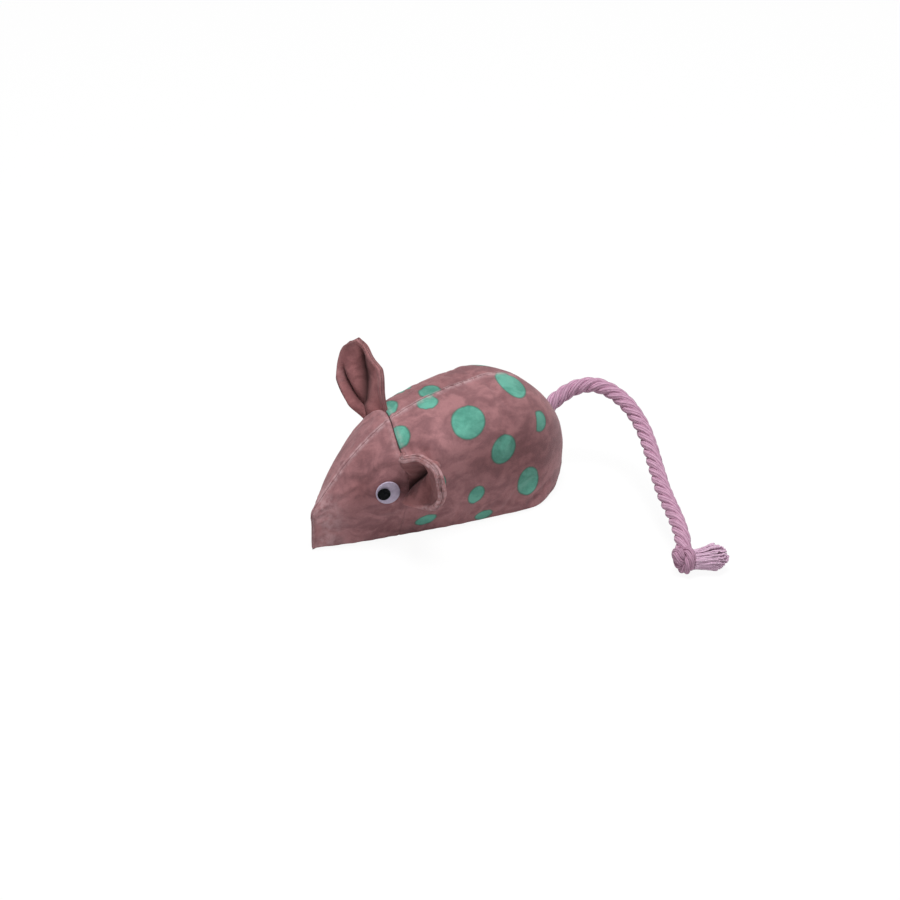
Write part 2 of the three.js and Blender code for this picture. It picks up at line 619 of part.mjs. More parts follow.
// The tuft: yarn ends that spread from the knot and round off
const tuftProfile = [
  new THREE.Vector2(0, 0),
  new THREE.Vector2(TUFT_ROOT_RADIUS, 0),
  new THREE.Vector2(TUFT_ROOT_RADIUS, KNOT_SOCKET_DEPTH + CLEARANCE),
  ...new THREE.SplineCurve([
    new THREE.Vector2((TUFT_ROOT_RADIUS + TUFT_RADIUS) / 2, TUFT_LENGTH / 4),
    new THREE.Vector2(TUFT_RADIUS, TUFT_LENGTH / 2),
    new THREE.Vector2(TUFT_RADIUS, (TUFT_LENGTH * 3) / 4),
    new THREE.Vector2(TUFT_RADIUS / 2, TUFT_LENGTH),
  ]).getPoints(ROPE_SIDES),
  new THREE.Vector2(0, TUFT_LENGTH),
];
const tuft = new THREE.LatheGeometry(tuftProfile, BALL_STEPS);
tuft.applyQuaternion(new THREE.Quaternion().setFromUnitVectors(new THREE.Vector3(0, 1, 0), tuftAlong));
tuft.translate(...tuftStart.toArray());
addPiece("tail_tuft", solidOf(tuft).subtract(floorCut), cottonRope);

export default mouse;
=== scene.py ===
"""A stuffed velvet mouse for a cat: sewn panels, folded ears, eyes with loose pupils and a rope tail.

Lengths are metres. The nose points to -X, the mouse's left side to -Y, and the floor is at Z 0.
"""

import json
import logging
import math
from collections.abc import Callable
from dataclasses import dataclass, field
from enum import Enum

import bmesh
import bpy
import numpy as np
from mathutils import Matrix, Vector


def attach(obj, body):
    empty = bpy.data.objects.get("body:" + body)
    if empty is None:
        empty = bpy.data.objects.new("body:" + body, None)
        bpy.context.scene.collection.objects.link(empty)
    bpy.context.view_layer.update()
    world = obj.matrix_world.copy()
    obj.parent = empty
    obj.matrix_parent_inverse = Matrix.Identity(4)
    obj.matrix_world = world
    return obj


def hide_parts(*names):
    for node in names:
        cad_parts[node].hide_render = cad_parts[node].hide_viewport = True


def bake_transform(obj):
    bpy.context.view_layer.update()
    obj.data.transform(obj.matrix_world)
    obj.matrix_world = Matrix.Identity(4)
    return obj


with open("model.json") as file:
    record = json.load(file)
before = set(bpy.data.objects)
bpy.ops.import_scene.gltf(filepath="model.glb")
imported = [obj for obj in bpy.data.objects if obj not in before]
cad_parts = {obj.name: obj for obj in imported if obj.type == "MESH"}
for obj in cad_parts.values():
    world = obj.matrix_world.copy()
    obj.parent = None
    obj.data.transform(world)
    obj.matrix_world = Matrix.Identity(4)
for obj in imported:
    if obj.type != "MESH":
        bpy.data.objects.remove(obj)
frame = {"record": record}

LOG = logging.getLogger("mouse")
MM = 0.001
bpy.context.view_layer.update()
Points = np.ndarray
Values = dict[str, np.ndarray]
Colour = tuple[float, float, float]
Piece = bpy.types.Object
Material = bpy.types.Material
NodeTree = bpy.types.NodeTree
Node = bpy.types.Node
Socket = bpy.types.NodeSocket
Inputs = bpy.types.bpy_prop_collection
Given = Socket | float | tuple[float, ...]


class Side(Enum):
    """The two sides of the mouse, by the sign of Y."""

    LEFT = -1
    RIGHT = 1

    @property
    def word(self) -> str:
        """The side's name in the record."""
        return self.name.lower()


class Part(Enum):
    """The two panels of each side, ahead of the neck seam and behind it."""

    HEAD = "head"
    BODY = "body"


# ---------------------------------------------------------------- number work


def unit(vectors: Points) -> Points:
    """Vectors brought to length one."""
    length = np.linalg.norm(vectors, axis=-1, keepdims=True)
    return vectors / np.maximum(length, 1e-12)


def ease(share: Points) -> Points:
    """A soft step from 0 to 1."""
    share = np.clip(share, 0, 1)
    return share * share * (3 - 2 * share)


def bump(distance: Points, width: float) -> Points:
    """A soft hump, one at distance 0 and gone past about two widths."""
    return np.exp(-((distance / width) ** 2))


def lumps(points: Points, size: float, seed: float) -> Points:
    """A smooth random field over points.

    Args:
        points: places, in metres.
        size: about how far one lump is from the next.
        seed: picks the field.

    Returns:
        One value for each place, from -1 to 1.
    """
    cell = points / size
    low = np.floor(cell)
    part = ease(cell - low)
    total = np.zeros(points.shape[:-1])
    for corner in np.ndindex(2, 2, 2):
        mixed = np.sin((low + corner) @ np.array((12.9898, 78.233, 37.719)) + seed) * 43758.5453
        weight = np.prod(np.where(corner, part, 1 - part), axis=-1)
        total += ((mixed - np.floor(mixed)) * 2 - 1) * weight
    return total


def spaced(length: float, edge: float, middle: float, growth: float = 1.22) -> Points:
    """Shares of a length for grid lines that crowd towards both ends.

    Args:
        length: the whole length.
        edge: the first step at each end.
        middle: the largest step.
        growth: how much each step grows on the one before.

    Returns:
        Shares from 0 to 1.
    """
    steps = [edge]
    while sum(steps) + steps[-1] * growth < length / 2:
        steps.append(min(steps[-1] * growth, middle))
    half = np.concatenate(([0.0], np.cumsum(steps)))
    half = half * (length / 2) / half[-1]
    return np.concatenate((half, length - half[-2::-1])) / length


def cumulative(points: Points, axis: int) -> Points:
    """Distance walked along one axis of a grid of points.

    Args:
        points: the grid, with places along its last axis.
        axis: the axis to walk.

    Returns:
        The distances from the start.
    """
    steps = np.linalg.norm(np.diff(points, axis=axis), axis=-1)
    start = np.zeros_like(np.take(steps, [0], axis=axis))
    return np.concatenate((start, np.cumsum(steps, axis=axis)), axis=axis)


def cubic_weights(shares: Points, count: int) -> Points:
    """Weights that read an even row of values smoothly at other places.

    Args:
        shares: the places, from 0 to 1.
        count: how many values the row has.

    Returns:
        One row of weights for each place.
    """
    place = np.clip(shares, 0, 1) * (count - 1)
    low = np.minimum(place.astype(int), count - 2)
    p = place - low
    terms = (-(p**3) / 2 + p**2 - p / 2, 3 * p**3 / 2 - 5 * p**2 / 2 + 1)
    terms += (-3 * p**3 / 2 + 2 * p**2 + p / 2, p**3 / 2 - p**2 / 2)
    weights = np.zeros((len(place), count))
    for shift, term in enumerate(terms, -1):
        np.add.at(weights, (np.arange(len(place)), np.clip(low + shift, 0, count - 1)), term)
    return weights


def blurred(grid: Points, rounds: int) -> Points:
    """A grid of numbers with each place averaged with its neighbours, round after round.

    Args:
        grid: the numbers.
        rounds: how often they are averaged.

    Returns:
        The evened grid.
    """
    for _ in range(rounds):
        wide = np.pad(grid, 1, mode="edge")
        grid = (wide[:-2, 1:-1] + wide[1:-1, 1:-1] + wide[2:, 1:-1]) / 3
        wide = np.pad(grid, 1, mode="edge")
        grid = (wide[1:-1, :-2] + wide[1:-1, 1:-1] + wide[1:-1, 2:]) / 3
    return grid


def smooth_path(points: Points, count: int) -> Points:
    """A smooth curve through points, at even distances.

    Args:
        points: the places it goes through.
        count: how many points come back.

    Returns:
        The curve's points.
    """
    points = np.asarray(points, float)
    chord = np.linalg.norm(np.diff(points, axis=0), axis=1)
    knots = np.concatenate(([0.0], np.cumsum(np.sqrt(chord))))
    slopes = np.gradient(points, knots, axis=0)
    at = np.linspace(0, knots[-1], 40 * len(points))
    k = np.clip(np.searchsorted(knots, at, side="right") - 1, 0, len(knots) - 2)
    span = (knots[k + 1] - knots[k])[:, None]
    p = ((at - knots[k]) / span[:, 0])[:, None]
    start = (2 * p**3 - 3 * p**2 + 1) * points[k] + (p**3 - 2 * p**2 + p) * span * slopes[k]
    end = (3 * p**2 - 2 * p**3) * points[k + 1] + (p**3 - p**2) * span * slopes[k + 1]
    fine = start + end
    walked = cumulative(fine, 0)
    even = np.linspace(0, walked[-1], count)
    return np.stack([np.interp(even, walked, fine[:, i]) for i in range(3)], axis=1)


# ------------------------------------------------------------------ mesh work


def grid_faces(rows: int, columns: int, first: int = 0) -> Points:
    """Four-sided faces of a grid of points stored row by row.

    Args:
        rows: how many rows.
        columns: how many columns.
        first: the first point's number.

    Returns:
        Four corner numbers for each face.
    """
    index = first + np.arange(rows * columns).reshape(rows, columns)
    a, b, c, d = index[:-1, :-1], index[1:, :-1], index[1:, 1:], index[:-1, 1:]
    return np.stack((a, b, c, d), axis=-1).reshape(-1, 4)


def rim_of(rows: int, columns: int) -> Points:
    """The outer ring of a grid, as indices in order."""
    index = np.arange(rows * columns).reshape(rows, columns)
    return np.concatenate((index[0, :-1], index[:-1, -1], index[-1, :0:-1], index[:0:-1, 0]))


def volume_of(points: Points, faces: list) -> float:
    """The signed volume inside a closed mesh: above 0 where its faces point outwards.

    Args:
        points: the mesh's corners.
        faces: lists of corner numbers.

    Returns:
        The volume.
    """
    total = 0.0
    for size in {len(f) for f in faces}:
        group = points[np.array([f for f in faces if len(f) == size])]
        for i in range(1, size - 1):
            total += np.einsum("ij,ij->", group[:, 0], np.cross(group[:, i], group[:, i + 1]))
    return total / 6


def in_scene(name: str, data: bpy.types.ID) -> Piece:
    """A new object in the scene.

    Args:
        name: the object's name.
        data: its mesh, camera or lamp.

    Returns:
        The object.
    """
    made = bpy.data.objects.new(name, data)
    bpy.context.collection.objects.link(made)
    return made


def worked_out(piece: Piece) -> bpy.types.Mesh:
    """A piece's mesh once its modifiers are carried out.

    Args:
        piece: the object.

    Returns:
        A new mesh.
    """
    graph = bpy.context.evaluated_depsgraph_get()
    graph.update()
    return bpy.data.meshes.new_from_object(piece.evaluated_get(graph), depsgraph=graph)


def keep_values(mesh: bpy.types.Mesh, values: Values | None, kind: str, part: str) -> None:
    """Keeps a number or a direction for each corner of a mesh, by the name that it is read by.

    Args:
        mesh: the mesh.
        values: the numbers by name, or nothing.
        kind: the type of attribute.
        part: what an element of it is called.
    """
    for key, numbers in (values or {}).items():
        layer = mesh.attributes.new(key, kind, "POINT")
        layer.data.foreach_set(part, np.asarray(numbers, np.float32).ravel())


def make_piece(
    name: str, points: Points, faces: list, material: Material, values: Values | None = None
) -> Piece:
    """A closed mesh as a new object, with its faces turned outwards.

    Args:
        name: the piece's name.
        points: its corners.
        faces: lists of corner numbers.
        material: its finish.
        values: numbers kept for each corner, by the name that a material reads.

    Returns:
        The object, at the origin.
    """
    faces = [list(map(int, f)) for f in faces]
    if volume_of(points, faces) < 0:
        faces = [f[::-1] for f in faces]
    mesh = bpy.data.meshes.new(name)
    mesh.from_pydata(points.tolist(), [], faces)
    mesh.polygons.foreach_set("use_smooth", [True] * len(mesh.polygons))
    keep_values(mesh, values, "FLOAT", "value")
    mesh.materials.append(material)
    mesh.update()
    return in_scene(name, mesh)


def shell_piece(name: str, outer: Points, inner: Points, material: Material, values: Values) -> Piece:
    """A sheet of cloth with two faces: two grids of points joined round their rims.

    Args:
        name: the piece's name.
        outer: the grid of the outer face, rows by columns by 3.
        inner: the same for the inner face.
        material: its finish.
        values: numbers for each place of the grid.

    Returns:
        The object.
    """
    rows, columns = outer.shape[:2]
    count = rows * columns
    rim = rim_of(rows, columns)
    after = np.roll(rim, -1)
    strip = np.stack((rim, after, after + count, rim + count), axis=1)
    back = grid_faces(rows, columns, count)[:, ::-1]
    faces = np.concatenate((grid_faces(rows, columns), back, strip[:, ::-1]))
    points = np.concatenate((outer.reshape(-1, 3), inner.reshape(-1, 3)))
    both = {k: np.concatenate((v.ravel(), v.ravel())) for k, v in values.items()}
    return make_piece(name, points, faces.tolist(), material, both)


def turned_piece(name: str, profile: Points, place: Matrix, material: Material, steps: int = 56) -> Piece:
    """A closed round piece turned about its own Z.

    Args:
        name: the piece's name.
        profile: radius and height, from the axis round to the axis again.
        place: where its own axes stand.
        material: its finish.
        steps: how many sides it has.

    Returns:
        The object.
    """
    angles = np.arange(steps) * 2 * math.pi / steps
    ring = profile[1:-1]
    cos, sin = np.cos(angles)[:, None], np.sin(angles)[:, None]
    wall = np.stack((ring[:, 0] * cos, ring[:, 0] * sin, ring[:, 1] + 0 * cos), axis=-1)
    count = len(ring)
    points = np.concatenate((wall.reshape(-1, 3), [[0, 0, profile[0][1]], [0, 0, profile[-1][1]]]))
    faces = []
    for i in range(steps):
        a, b = i * count, (i + 1) % steps * count
        faces += [[a + j, b + j, b + j + 1, a + j + 1] for j in range(count - 1)]
        faces += [[steps * count, b, a], [steps * count + 1, a + count - 1, b + count - 1]]
    placed = points @ np.array(place.to_3x3()).T + np.array(place.translation)
    return make_piece(name, placed, faces, material)


def joint_of(name: str) -> dict:
    """A joint of the record, by its name."""
    return next(j for j in frame["record"]["behaviour"]["joints"] if j["name"] == name)


def report(piece: Piece) -> Piece:
    """Writes a finished piece to the log and gives it back."""
    LOG.info("%s: %d faces", piece.name, len(piece.data.polygons))
    return piece


def settle(piece: Piece, body: str, node: str | None = None) -> Piece:
    """Puts a piece on the body that it rides on and hides the solid that it stands for.

    Args:
        piece: the object.
        body: the body.
        node: the solid, where there is one.

    Returns:
        The piece.
    """
    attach(piece, body)
    if node:
        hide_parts(node)
    return report(piece)


# ------------------------------------------------------------------ node work


class Tree:
    """A node tree while it is being made."""

    def __init__(self, tree: NodeTree) -> None:
        """Keeps the tree that nodes are added to."""
        self.tree = tree

    def link(self, value: Socket, socket: Socket) -> None:
        """Leads one socket into another."""
        self.tree.links.new(value, socket)

    def add(self, kind: str, values: dict | None = None, **settings: object) -> Node:
        """A new node.

        Args:
            kind: the node's type.
            values: for its inputs, by name or number: a socket to link or a plain value.
            settings: its own properties.

        Returns:
            The node.
        """
        node = self.tree.nodes.new(kind)
        for key, value in settings.items():
            setattr(node, key, value)
        for key, value in (values or {}).items():
            if isinstance(value, Socket):
                self.link(value, node.inputs[key])
            else:
                node.inputs[key].default_value = value
        return node

    def get(self, kind: str, values: dict | None = None, **settings: object) -> Socket:
        """What a new node puts out first."""
        return self.add(kind, values, **settings).outputs[0]

    def math(self, operation: str, *values: Given) -> Socket:
        """One step of arithmetic, from sockets or numbers."""
        return self.get("ShaderNodeMath", dict(enumerate(values)), operation=operation)

    def times(self, first: Given, second: Given) -> Socket:
        """Two numbers multiplied."""
        return self.math("MULTIPLY", first, second)

    def vector(self, operation: str, *values: Given) -> Socket:
        """One step of vector arithmetic that gives a vector."""
        return self.get("ShaderNodeVectorMath", dict(enumerate(values)), operation=operation)

    def scaled(self, vector: Socket, amount: Given) -> Socket:
        """A vector times a number."""
        return self.get("ShaderNodeVectorMath", {0: vector, "Scale": amount}, operation="SCALE")

    def xyz(self, x: Given = 0.0, y: Given = 0.0, z: Given = 0.0) -> Socket:
        """A vector from its three numbers."""
        return self.get("ShaderNodeCombineXYZ", {0: x, 1: y, 2: z})

    def span(self, value: Given, low: float, high: float, start: float = 0.0, end: float = 1.0) -> Socket:
        """A value between two limits taken to a soft step between start and end."""
        values = {0: value, 1: low, 2: high, 3: start, 4: end}
        return self.get("ShaderNodeMapRange", values, interpolation_type="SMOOTHSTEP")

    def blend(self, share: Given, first: Given, second: Given) -> Socket:
        """Two colours mixed by a share of the second.

        Args:
            share: the share, 0 to 1.
            first: a colour or its socket.
            second: the other.

        Returns:
            The mixed colour.
        """
        colours = [c if isinstance(c, Socket) else (*c, 1) for c in (first, second)]
        values = {0: share, 6: colours[0], 7: colours[1]}
        return self.add("ShaderNodeMix", values, data_type="RGBA").outputs[2]

    def noise(
        self, where: Socket, scale: Given, detail: float = 2.0, rough: float = 0.5, bend: float = 0.0
    ) -> Socket:
        """A noise pattern, about 0 to 1."""
        values = {"Vector": where, "Scale": scale, "Detail": detail}
        return self.get("ShaderNodeTexNoise", values | {"Roughness": rough, "Distortion": bend})

    def where(self) -> Socket:
        """The place in the object's own axes."""
        return self.add("ShaderNodeTexCoord").outputs["Object"]

    def kept(self, name: str, part: str = "Fac") -> Socket:
        """What is kept on the mesh under a name."""
        return self.add("ShaderNodeAttribute", attribute_name=name).outputs[part]


class ShapeTree(Tree):
    """A tree of geometry nodes while it is being made."""

    def shape(self, kind: str, values: dict | None = None, **settings: object) -> Socket:
        """What a new geometry node puts out first."""
        return self.get(f"GeometryNode{kind}", values, **settings)

    def here(self) -> Socket:
        """Where each point is."""
        return self.shape("InputPosition")

    def run(self) -> Socket:
        """How far along its line each point is."""
        return self.add("GeometryNodeSplineParameter").outputs["Length"]

    def varied(self, low: Given, high: Given, seed: Socket) -> Socket:
        """A random number for each element, from a fixed seed."""
        values = {2: low, 3: high, "Seed": seed}
        return self.add("FunctionNodeRandomValue", values, data_type="FLOAT").outputs[1]

    def store(self, shape: Socket, name: str, value: Socket, kind: str = "FLOAT") -> Socket:
        """A shape with a value kept for each point."""
        values = {"Geometry": shape, "Name": name, "Value": value}
        return self.shape("StoreNamedAttribute", values, data_type=kind, domain="POINT")

    def tubes(self, line: Socket, ring: Socket) -> Socket:
        """Closed tubes along lines."""
        return self.shape("CurveToMesh", {"Curve": line, "Profile Curve": ring, "Fill Caps": True})

    def yarns(self, line: Socket, sides: Given, radius: Given) -> Socket:
        """Tubes along lines, in which each point knows its place round the ring."""
        ring = self.shape("CurvePrimitiveCircle", {"Resolution": sides, "Radius": radius})
        return self.tubes(line, self.store(ring, "ring", self.here(), "FLOAT_VECTOR"))

    def joined(self, *shapes: Socket) -> Socket:
        """Several shapes as one.

        Args:
            shapes: the shapes.

        Returns:
            The joined shape.
        """
        join = self.add("GeometryNodeJoinGeometry")
        for shape in shapes:
            self.link(shape, join.inputs[0])
        return join.outputs[0]

    def put_out(self, shape: Socket, material: Socket, out: Node) -> NodeTree:
        """Ends the tree with real faces that have their material, and gives the tree back.

        Args:
            shape: the shape.
            material: its material.
            out: the output node.

        Returns:
            The tree.
        """
        real = self.shape("RealizeInstances", {0: shape})
        self.link(self.shape("SetMaterial", {"Geometry": real, "Material": material}), out.inputs[0])
        return self.tree


NUMBER, COUNT, VECTOR = "NodeSocketFloat", "NodeSocketInt", "NodeSocketVector"
SHAPE, MATERIAL = "NodeSocketGeometry", "NodeSocketMaterial"


def linear(red: int, green: int, blue: int) -> Colour:
    """A colour as it shows on a screen, 0 to 255, as the light that shaders count in."""
    shares = (c / 255 for c in (red, green, blue))
    return tuple(s / 12.92 if s <= 0.04045 else ((s + 0.055) / 1.055) ** 2.4 for s in shares)


def new_group(name: str, maker: type[Tree], inputs: dict[str, str], outputs: dict[str, str]) -> tuple:
    """A new node group.

    Args:
        name: the group's name.
        maker: the class that adds its nodes.
        inputs: socket types by name.
        outputs: the same for what it puts out.

    Returns:
        The maker on the group's tree, the sockets of its input node, and its output node.
    """
    kind = "GeometryNodeTree" if maker is ShapeTree else "ShaderNodeTree"
    group = bpy.data.node_groups.new(name, kind)
    for way, sockets in (("INPUT", inputs), ("OUTPUT", outputs)):
        for title, socket in sockets.items():
            group.interface.new_socket(name=title, in_out=way, socket_type=socket)
    tree = maker(group)
    return tree, tree.add("NodeGroupInput").outputs, tree.add("NodeGroupOutput")


def brushed_nap_group() -> NodeTree:
    """Pile that hands have brushed: blotches that lie one way or the other, and the short hairs.

    Returns:
        The node group.
    """
    inputs = {"Vector": VECTOR, "Patches": NUMBER, "Hairs": NUMBER}
    given_out = dict.fromkeys(("Lie", "Grain", "Height"), NUMBER)
    tree, given, out = new_group("Brushed nap", Tree, inputs, given_out)
    where, patches = given["Vector"], given["Patches"]
    shifted = {"Vector": where, "Scale": (0.75, 1, 1.15), "Rotation": (0.5, 0.2, 0.7)}
    broad = tree.noise(tree.get("ShaderNodeMapping", shifted), patches, 2.5, 0.55, 0.9)
    small = tree.noise(where, tree.times(patches, 3.7), 3.0, 0.6, 0.4)
    lie = tree.math("MULTIPLY_ADD", small, 0.24, tree.times(broad, 0.76))
    hair = tree.noise(where, given["Hairs"], 3.0, 0.7, 0.2)
    tree.link(tree.span(lie, 0.36, 0.64), out.inputs["Lie"])
    tree.link(hair, out.inputs["Grain"])
    tree.link(tree.math("MULTIPLY_ADD", small, 0.25, hair), out.inputs["Height"])
    return tree.tree


def spun_yarn_group() -> NodeTree:
    """Fine yarns laid along a strand: ridges round it that turn slowly, with loose fibres over them.

    Returns:
        The node group.
    """
    inputs = {"Ring": VECTOR, "Run": NUMBER, "Yarns": NUMBER, "Turn": NUMBER}
    tree, given, out = new_group("Spun yarn", Tree, inputs, {"Ridge": NUMBER, "Fuzz": NUMBER})
    x, y, _ = tree.add("ShaderNodeSeparateXYZ", {0: given["Ring"]}).outputs
    turned = tree.times(given["Run"], given["Turn"])
    phase = tree.math("MULTIPLY_ADD", tree.math("ARCTAN2", y, x), given["Yarns"], turned)
    ridge = tree.math("ABSOLUTE", tree.math("COSINE", tree.times(phase, 0.5)))
    stretched = tree.xyz(tree.times(x, 3000.0), tree.times(y, 3000.0), tree.times(given["Run"], 500.0))
    tree.link(ridge, out.inputs["Ridge"])
    tree.link(tree.noise(stretched, 1.0, 3.0, 0.6, 0.3), out.inputs["Fuzz"])
    return tree.tree


class Groups:
    """The effects that more than one finish uses, each made once."""

    def __init__(self) -> None:
        """Builds the groups."""
        self.nap = brushed_nap_group()
        self.yarn = spun_yarn_group()


@dataclass(frozen=True)
class Finish:
    """What every finish has: its colours, roughness, relief and how it takes light at grazing angles."""

    name: str
    light: Colour = linear(240, 238, 232)
    dark: Colour = linear(196, 194, 188)
    roughness: float = 0.9
    sheen: float = 0.0
    sheen_roughness: float = 0.5
    sheen_tint: Colour = (1.0, 1.0, 1.0)
    specular: float = 0.3
    relief: float = 0.8
    relief_depth: float = 0.3 * MM

    def make(self, groups: Groups) -> Material:
        """The finished material.

        Args:
            groups: the shared effects.

        Returns:
            The material.
        """
        material = bpy.data.materials.new(self.name)
        material.use_nodes = True
        shader = material.node_tree.nodes["Principled BSDF"].inputs
        shader["Roughness"].default_value = self.roughness
        shader["Specular IOR Level"].default_value = self.specular
        shader["Sheen Weight"].default_value = self.sheen
        shader["Sheen Roughness"].default_value = self.sheen_roughness
        shader["Sheen Tint"].default_value = (*self.sheen_tint, 1)
        tree = Tree(material.node_tree)
        colour, height = self.surface(tree, shader, groups)
        tree.link(colour, shader["Base Color"])
        relief = {"Strength": self.relief, "Distance": self.relief_depth, "Height": height}
        tree.link(tree.get("ShaderNodeBump", relief), shader["Normal"])
        return material

    def surface(self, tree: Tree, shader: Inputs, groups: Groups) -> tuple[Socket, Socket]:
        """What a kind of finish draws, filled in by each kind.

        Args:
            tree: the material's tree.
            shader: the inputs of its shader.
            groups: the shared effects.

        Returns:
            The colour and the height.
        """
        raise NotImplementedError


@dataclass(frozen=True)
class Velvet(Finish):
    """Short brushed pile, with or without printed spots."""

    light: Colour = linear(172, 122, 125)
    dark: Colour = linear(140, 97, 101)
    # painted shade: the dark colour laid into the ears' creases and hollows
    deep: Colour = linear(62, 30, 33)
    # pale wear with painted sheen on seam ridges, ear rims and the nose
    worn: Colour = linear(216, 182, 186)
    # painted shade in the seams and the ears' rim slits
    groove: Colour = linear(66, 40, 44)
    spotted: bool = False
    spot_light: Colour = linear(108, 182, 162)
    spot_dark: Colour = linear(84, 154, 136)
    spot_edge: Colour = linear(62, 92, 82)
    patches: float = 165.0
    hairs: float = 3400.0
    edge_width: float = 0.46
    relief: float = 0.5
    relief_depth: float = 0.2 * MM

    def surface(self, tree: Tree, shader: Inputs, groups: Groups) -> tuple[Socket, Socket]:
        """Pile by the way it lies, then the spots, painted shade in the folds, pale wear with painted sheen,
        painted shade along the seams, and patches of painted shade and light over the pile.

        Args:
            tree: the material's tree.
            shader: the inputs of its shader.
            groups: the shared effects.

        Returns:
            The colour and the height.
        """
        where = tree.where()
        nap = {"Vector": where, "Patches": self.patches, "Hairs": self.hairs}
        lie, grain, height = tree.add("ShaderNodeGroup", nap, node_tree=groups.nap).outputs
        colour = tree.blend(lie, self.dark, self.light)
        if self.spotted:
            shift = tree.math("SUBTRACT", grain, 0.5)
            ragged = tree.math("MULTIPLY_ADD", shift, 0.45, tree.kept("spot_edge"))
            spot = tree.blend(lie, self.spot_dark, self.spot_light)
            colour = tree.blend(tree.span(ragged, -0.2, 0.24, 1.0, 0.0), colour, spot)
            rim = tree.span(tree.math("ABSOLUTE", ragged), 0.1, self.edge_width, 0.5, 0.0)
            colour = tree.blend(rim, colour, self.spot_edge)
        # Painted shade in the folds: the fold value darkens the pile towards the crease colour and thins its
        # sheen there.
        fold = tree.kept("fold")
        colour = tree.blend(tree.times(fold, 0.92), colour, self.deep)
        tree.link(tree.math("MULTIPLY_ADD", fold, -self.sheen, self.sheen), shader["Sheen Weight"])
        # Patchy pale bands on seam ridges, ear rims and the nose: wear, and painted sheen.
        patchy = tree.span(tree.noise(where, 520.0, 2.0, 0.6), 0.3, 0.68, 0.15, 1.0)
        colour = tree.blend(tree.times(tree.kept("worn"), tree.times(patchy, 0.6)), colour, self.worn)
        # A dark line in the seams and rim slits: painted shade.
        colour = tree.blend(tree.kept("groove"), colour, self.groove)
        # The nap value multiplies the colour down and reddens it: painted shade, or painted light where it is
        # below 0, on top of the pile's random speckle.
        speck, stroked = tree.span(grain, 0.3, 0.75, 0.9, 1.08), tree.kept("stroked")
        red, rest = (tree.times(speck, tree.math("MULTIPLY_ADD", stroked, k, 1.0)) for k in (-0.38, -0.46))
        shades = {0: 1.0, 6: colour, 7: tree.get("ShaderNodeCombineColor", {0: red, 1: rest, 2: rest})}
        shaded = tree.add("ShaderNodeMix", shades, data_type="RGBA", blend_type="MULTIPLY")
        return shaded.outputs[2], height


@dataclass(frozen=True)
class Rope(Finish):
    """Soft cotton rope, with painted light on top of each yarn and painted shade between them."""

    # light is the painted light on the yarns' tops, dark the painted shade between them
    light: Colour = linear(216, 170, 196)
    dark: Colour = linear(126, 76, 106)
    yarns: float = 7.0
    turn: float = 900.0
    relief: float = 0.7
    relief_depth: float = 0.16 * MM

    def surface(self, tree: Tree, shader: Inputs, groups: Groups) -> tuple[Socket, Socket]:
        """Yarns by their place round the strand and along it.

        Args:
            tree: the material's tree.
            shader: the inputs of its shader, not used here.
            groups: the shared effects.

        Returns:
            The colour and the height.
        """
        lay = {"Ring": tree.kept("ring", "Vector"), "Run": tree.kept("run")}
        lay |= {"Yarns": self.yarns, "Turn": self.turn}
        ridge, fuzz = tree.add("ShaderNodeGroup", lay, node_tree=groups.yarn).outputs
        # Painted light on the top of each yarn and painted shade between the yarns.
        lit = tree.times(tree.span(ridge, 0.05, 0.7, 0.5, 1.0), tree.span(fuzz, 0.3, 0.6, 0.55, 1.0))
        return tree.blend(lit, self.dark, self.light), tree.math("MULTIPLY_ADD", fuzz, 0.6, ridge)


@dataclass(frozen=True)
class Plastic(Finish):
    """Moulded plastic with a faint unevenness and a few fine scuffs."""

    light: Colour = linear(199, 188, 210)
    dark: Colour = linear(186, 174, 198)
    alpha: float = 1.0
    waves: float = 900.0
    relief: float = 0.15
    relief_depth: float = 0.03 * MM

    def surface(self, tree: Tree, shader: Inputs, groups: Groups) -> tuple[Socket, Socket]:
        """Faint clouds of shade, and dull and shiny places.

        Args:
            tree: the material's tree.
            shader: the inputs of its shader.
            groups: the shared effects, not used here.

        Returns:
            The colour and the height.
        """
        where = tree.where()
        cloud, scuffs = tree.noise(where, self.waves, 3.0, 0.6), tree.noise(where, self.waves * 4, 2.0)
        rough = tree.span(scuffs, 0.3, 0.7, self.roughness * 0.8, self.roughness * 1.25)
        tree.link(rough, shader["Roughness"])
        shader["Alpha"].default_value = self.alpha
        return tree.blend(tree.span(cloud, 0.35, 0.65), self.dark, self.light), cloud


@dataclass(frozen=True)
class LooseFibre(Finish):
    """Wad or leaf: matte, with tangled light and dark."""

    tangle: float = 700.0

    def surface(self, tree: Tree, shader: Inputs, groups: Groups) -> tuple[Socket, Socket]:
        """Tangled strands of light and dark."""
        strands = tree.noise(tree.where(), self.tangle, 5.0, 0.7, 2.0)
        return tree.blend(tree.span(strands, 0.35, 0.65), self.dark, self.light), strands


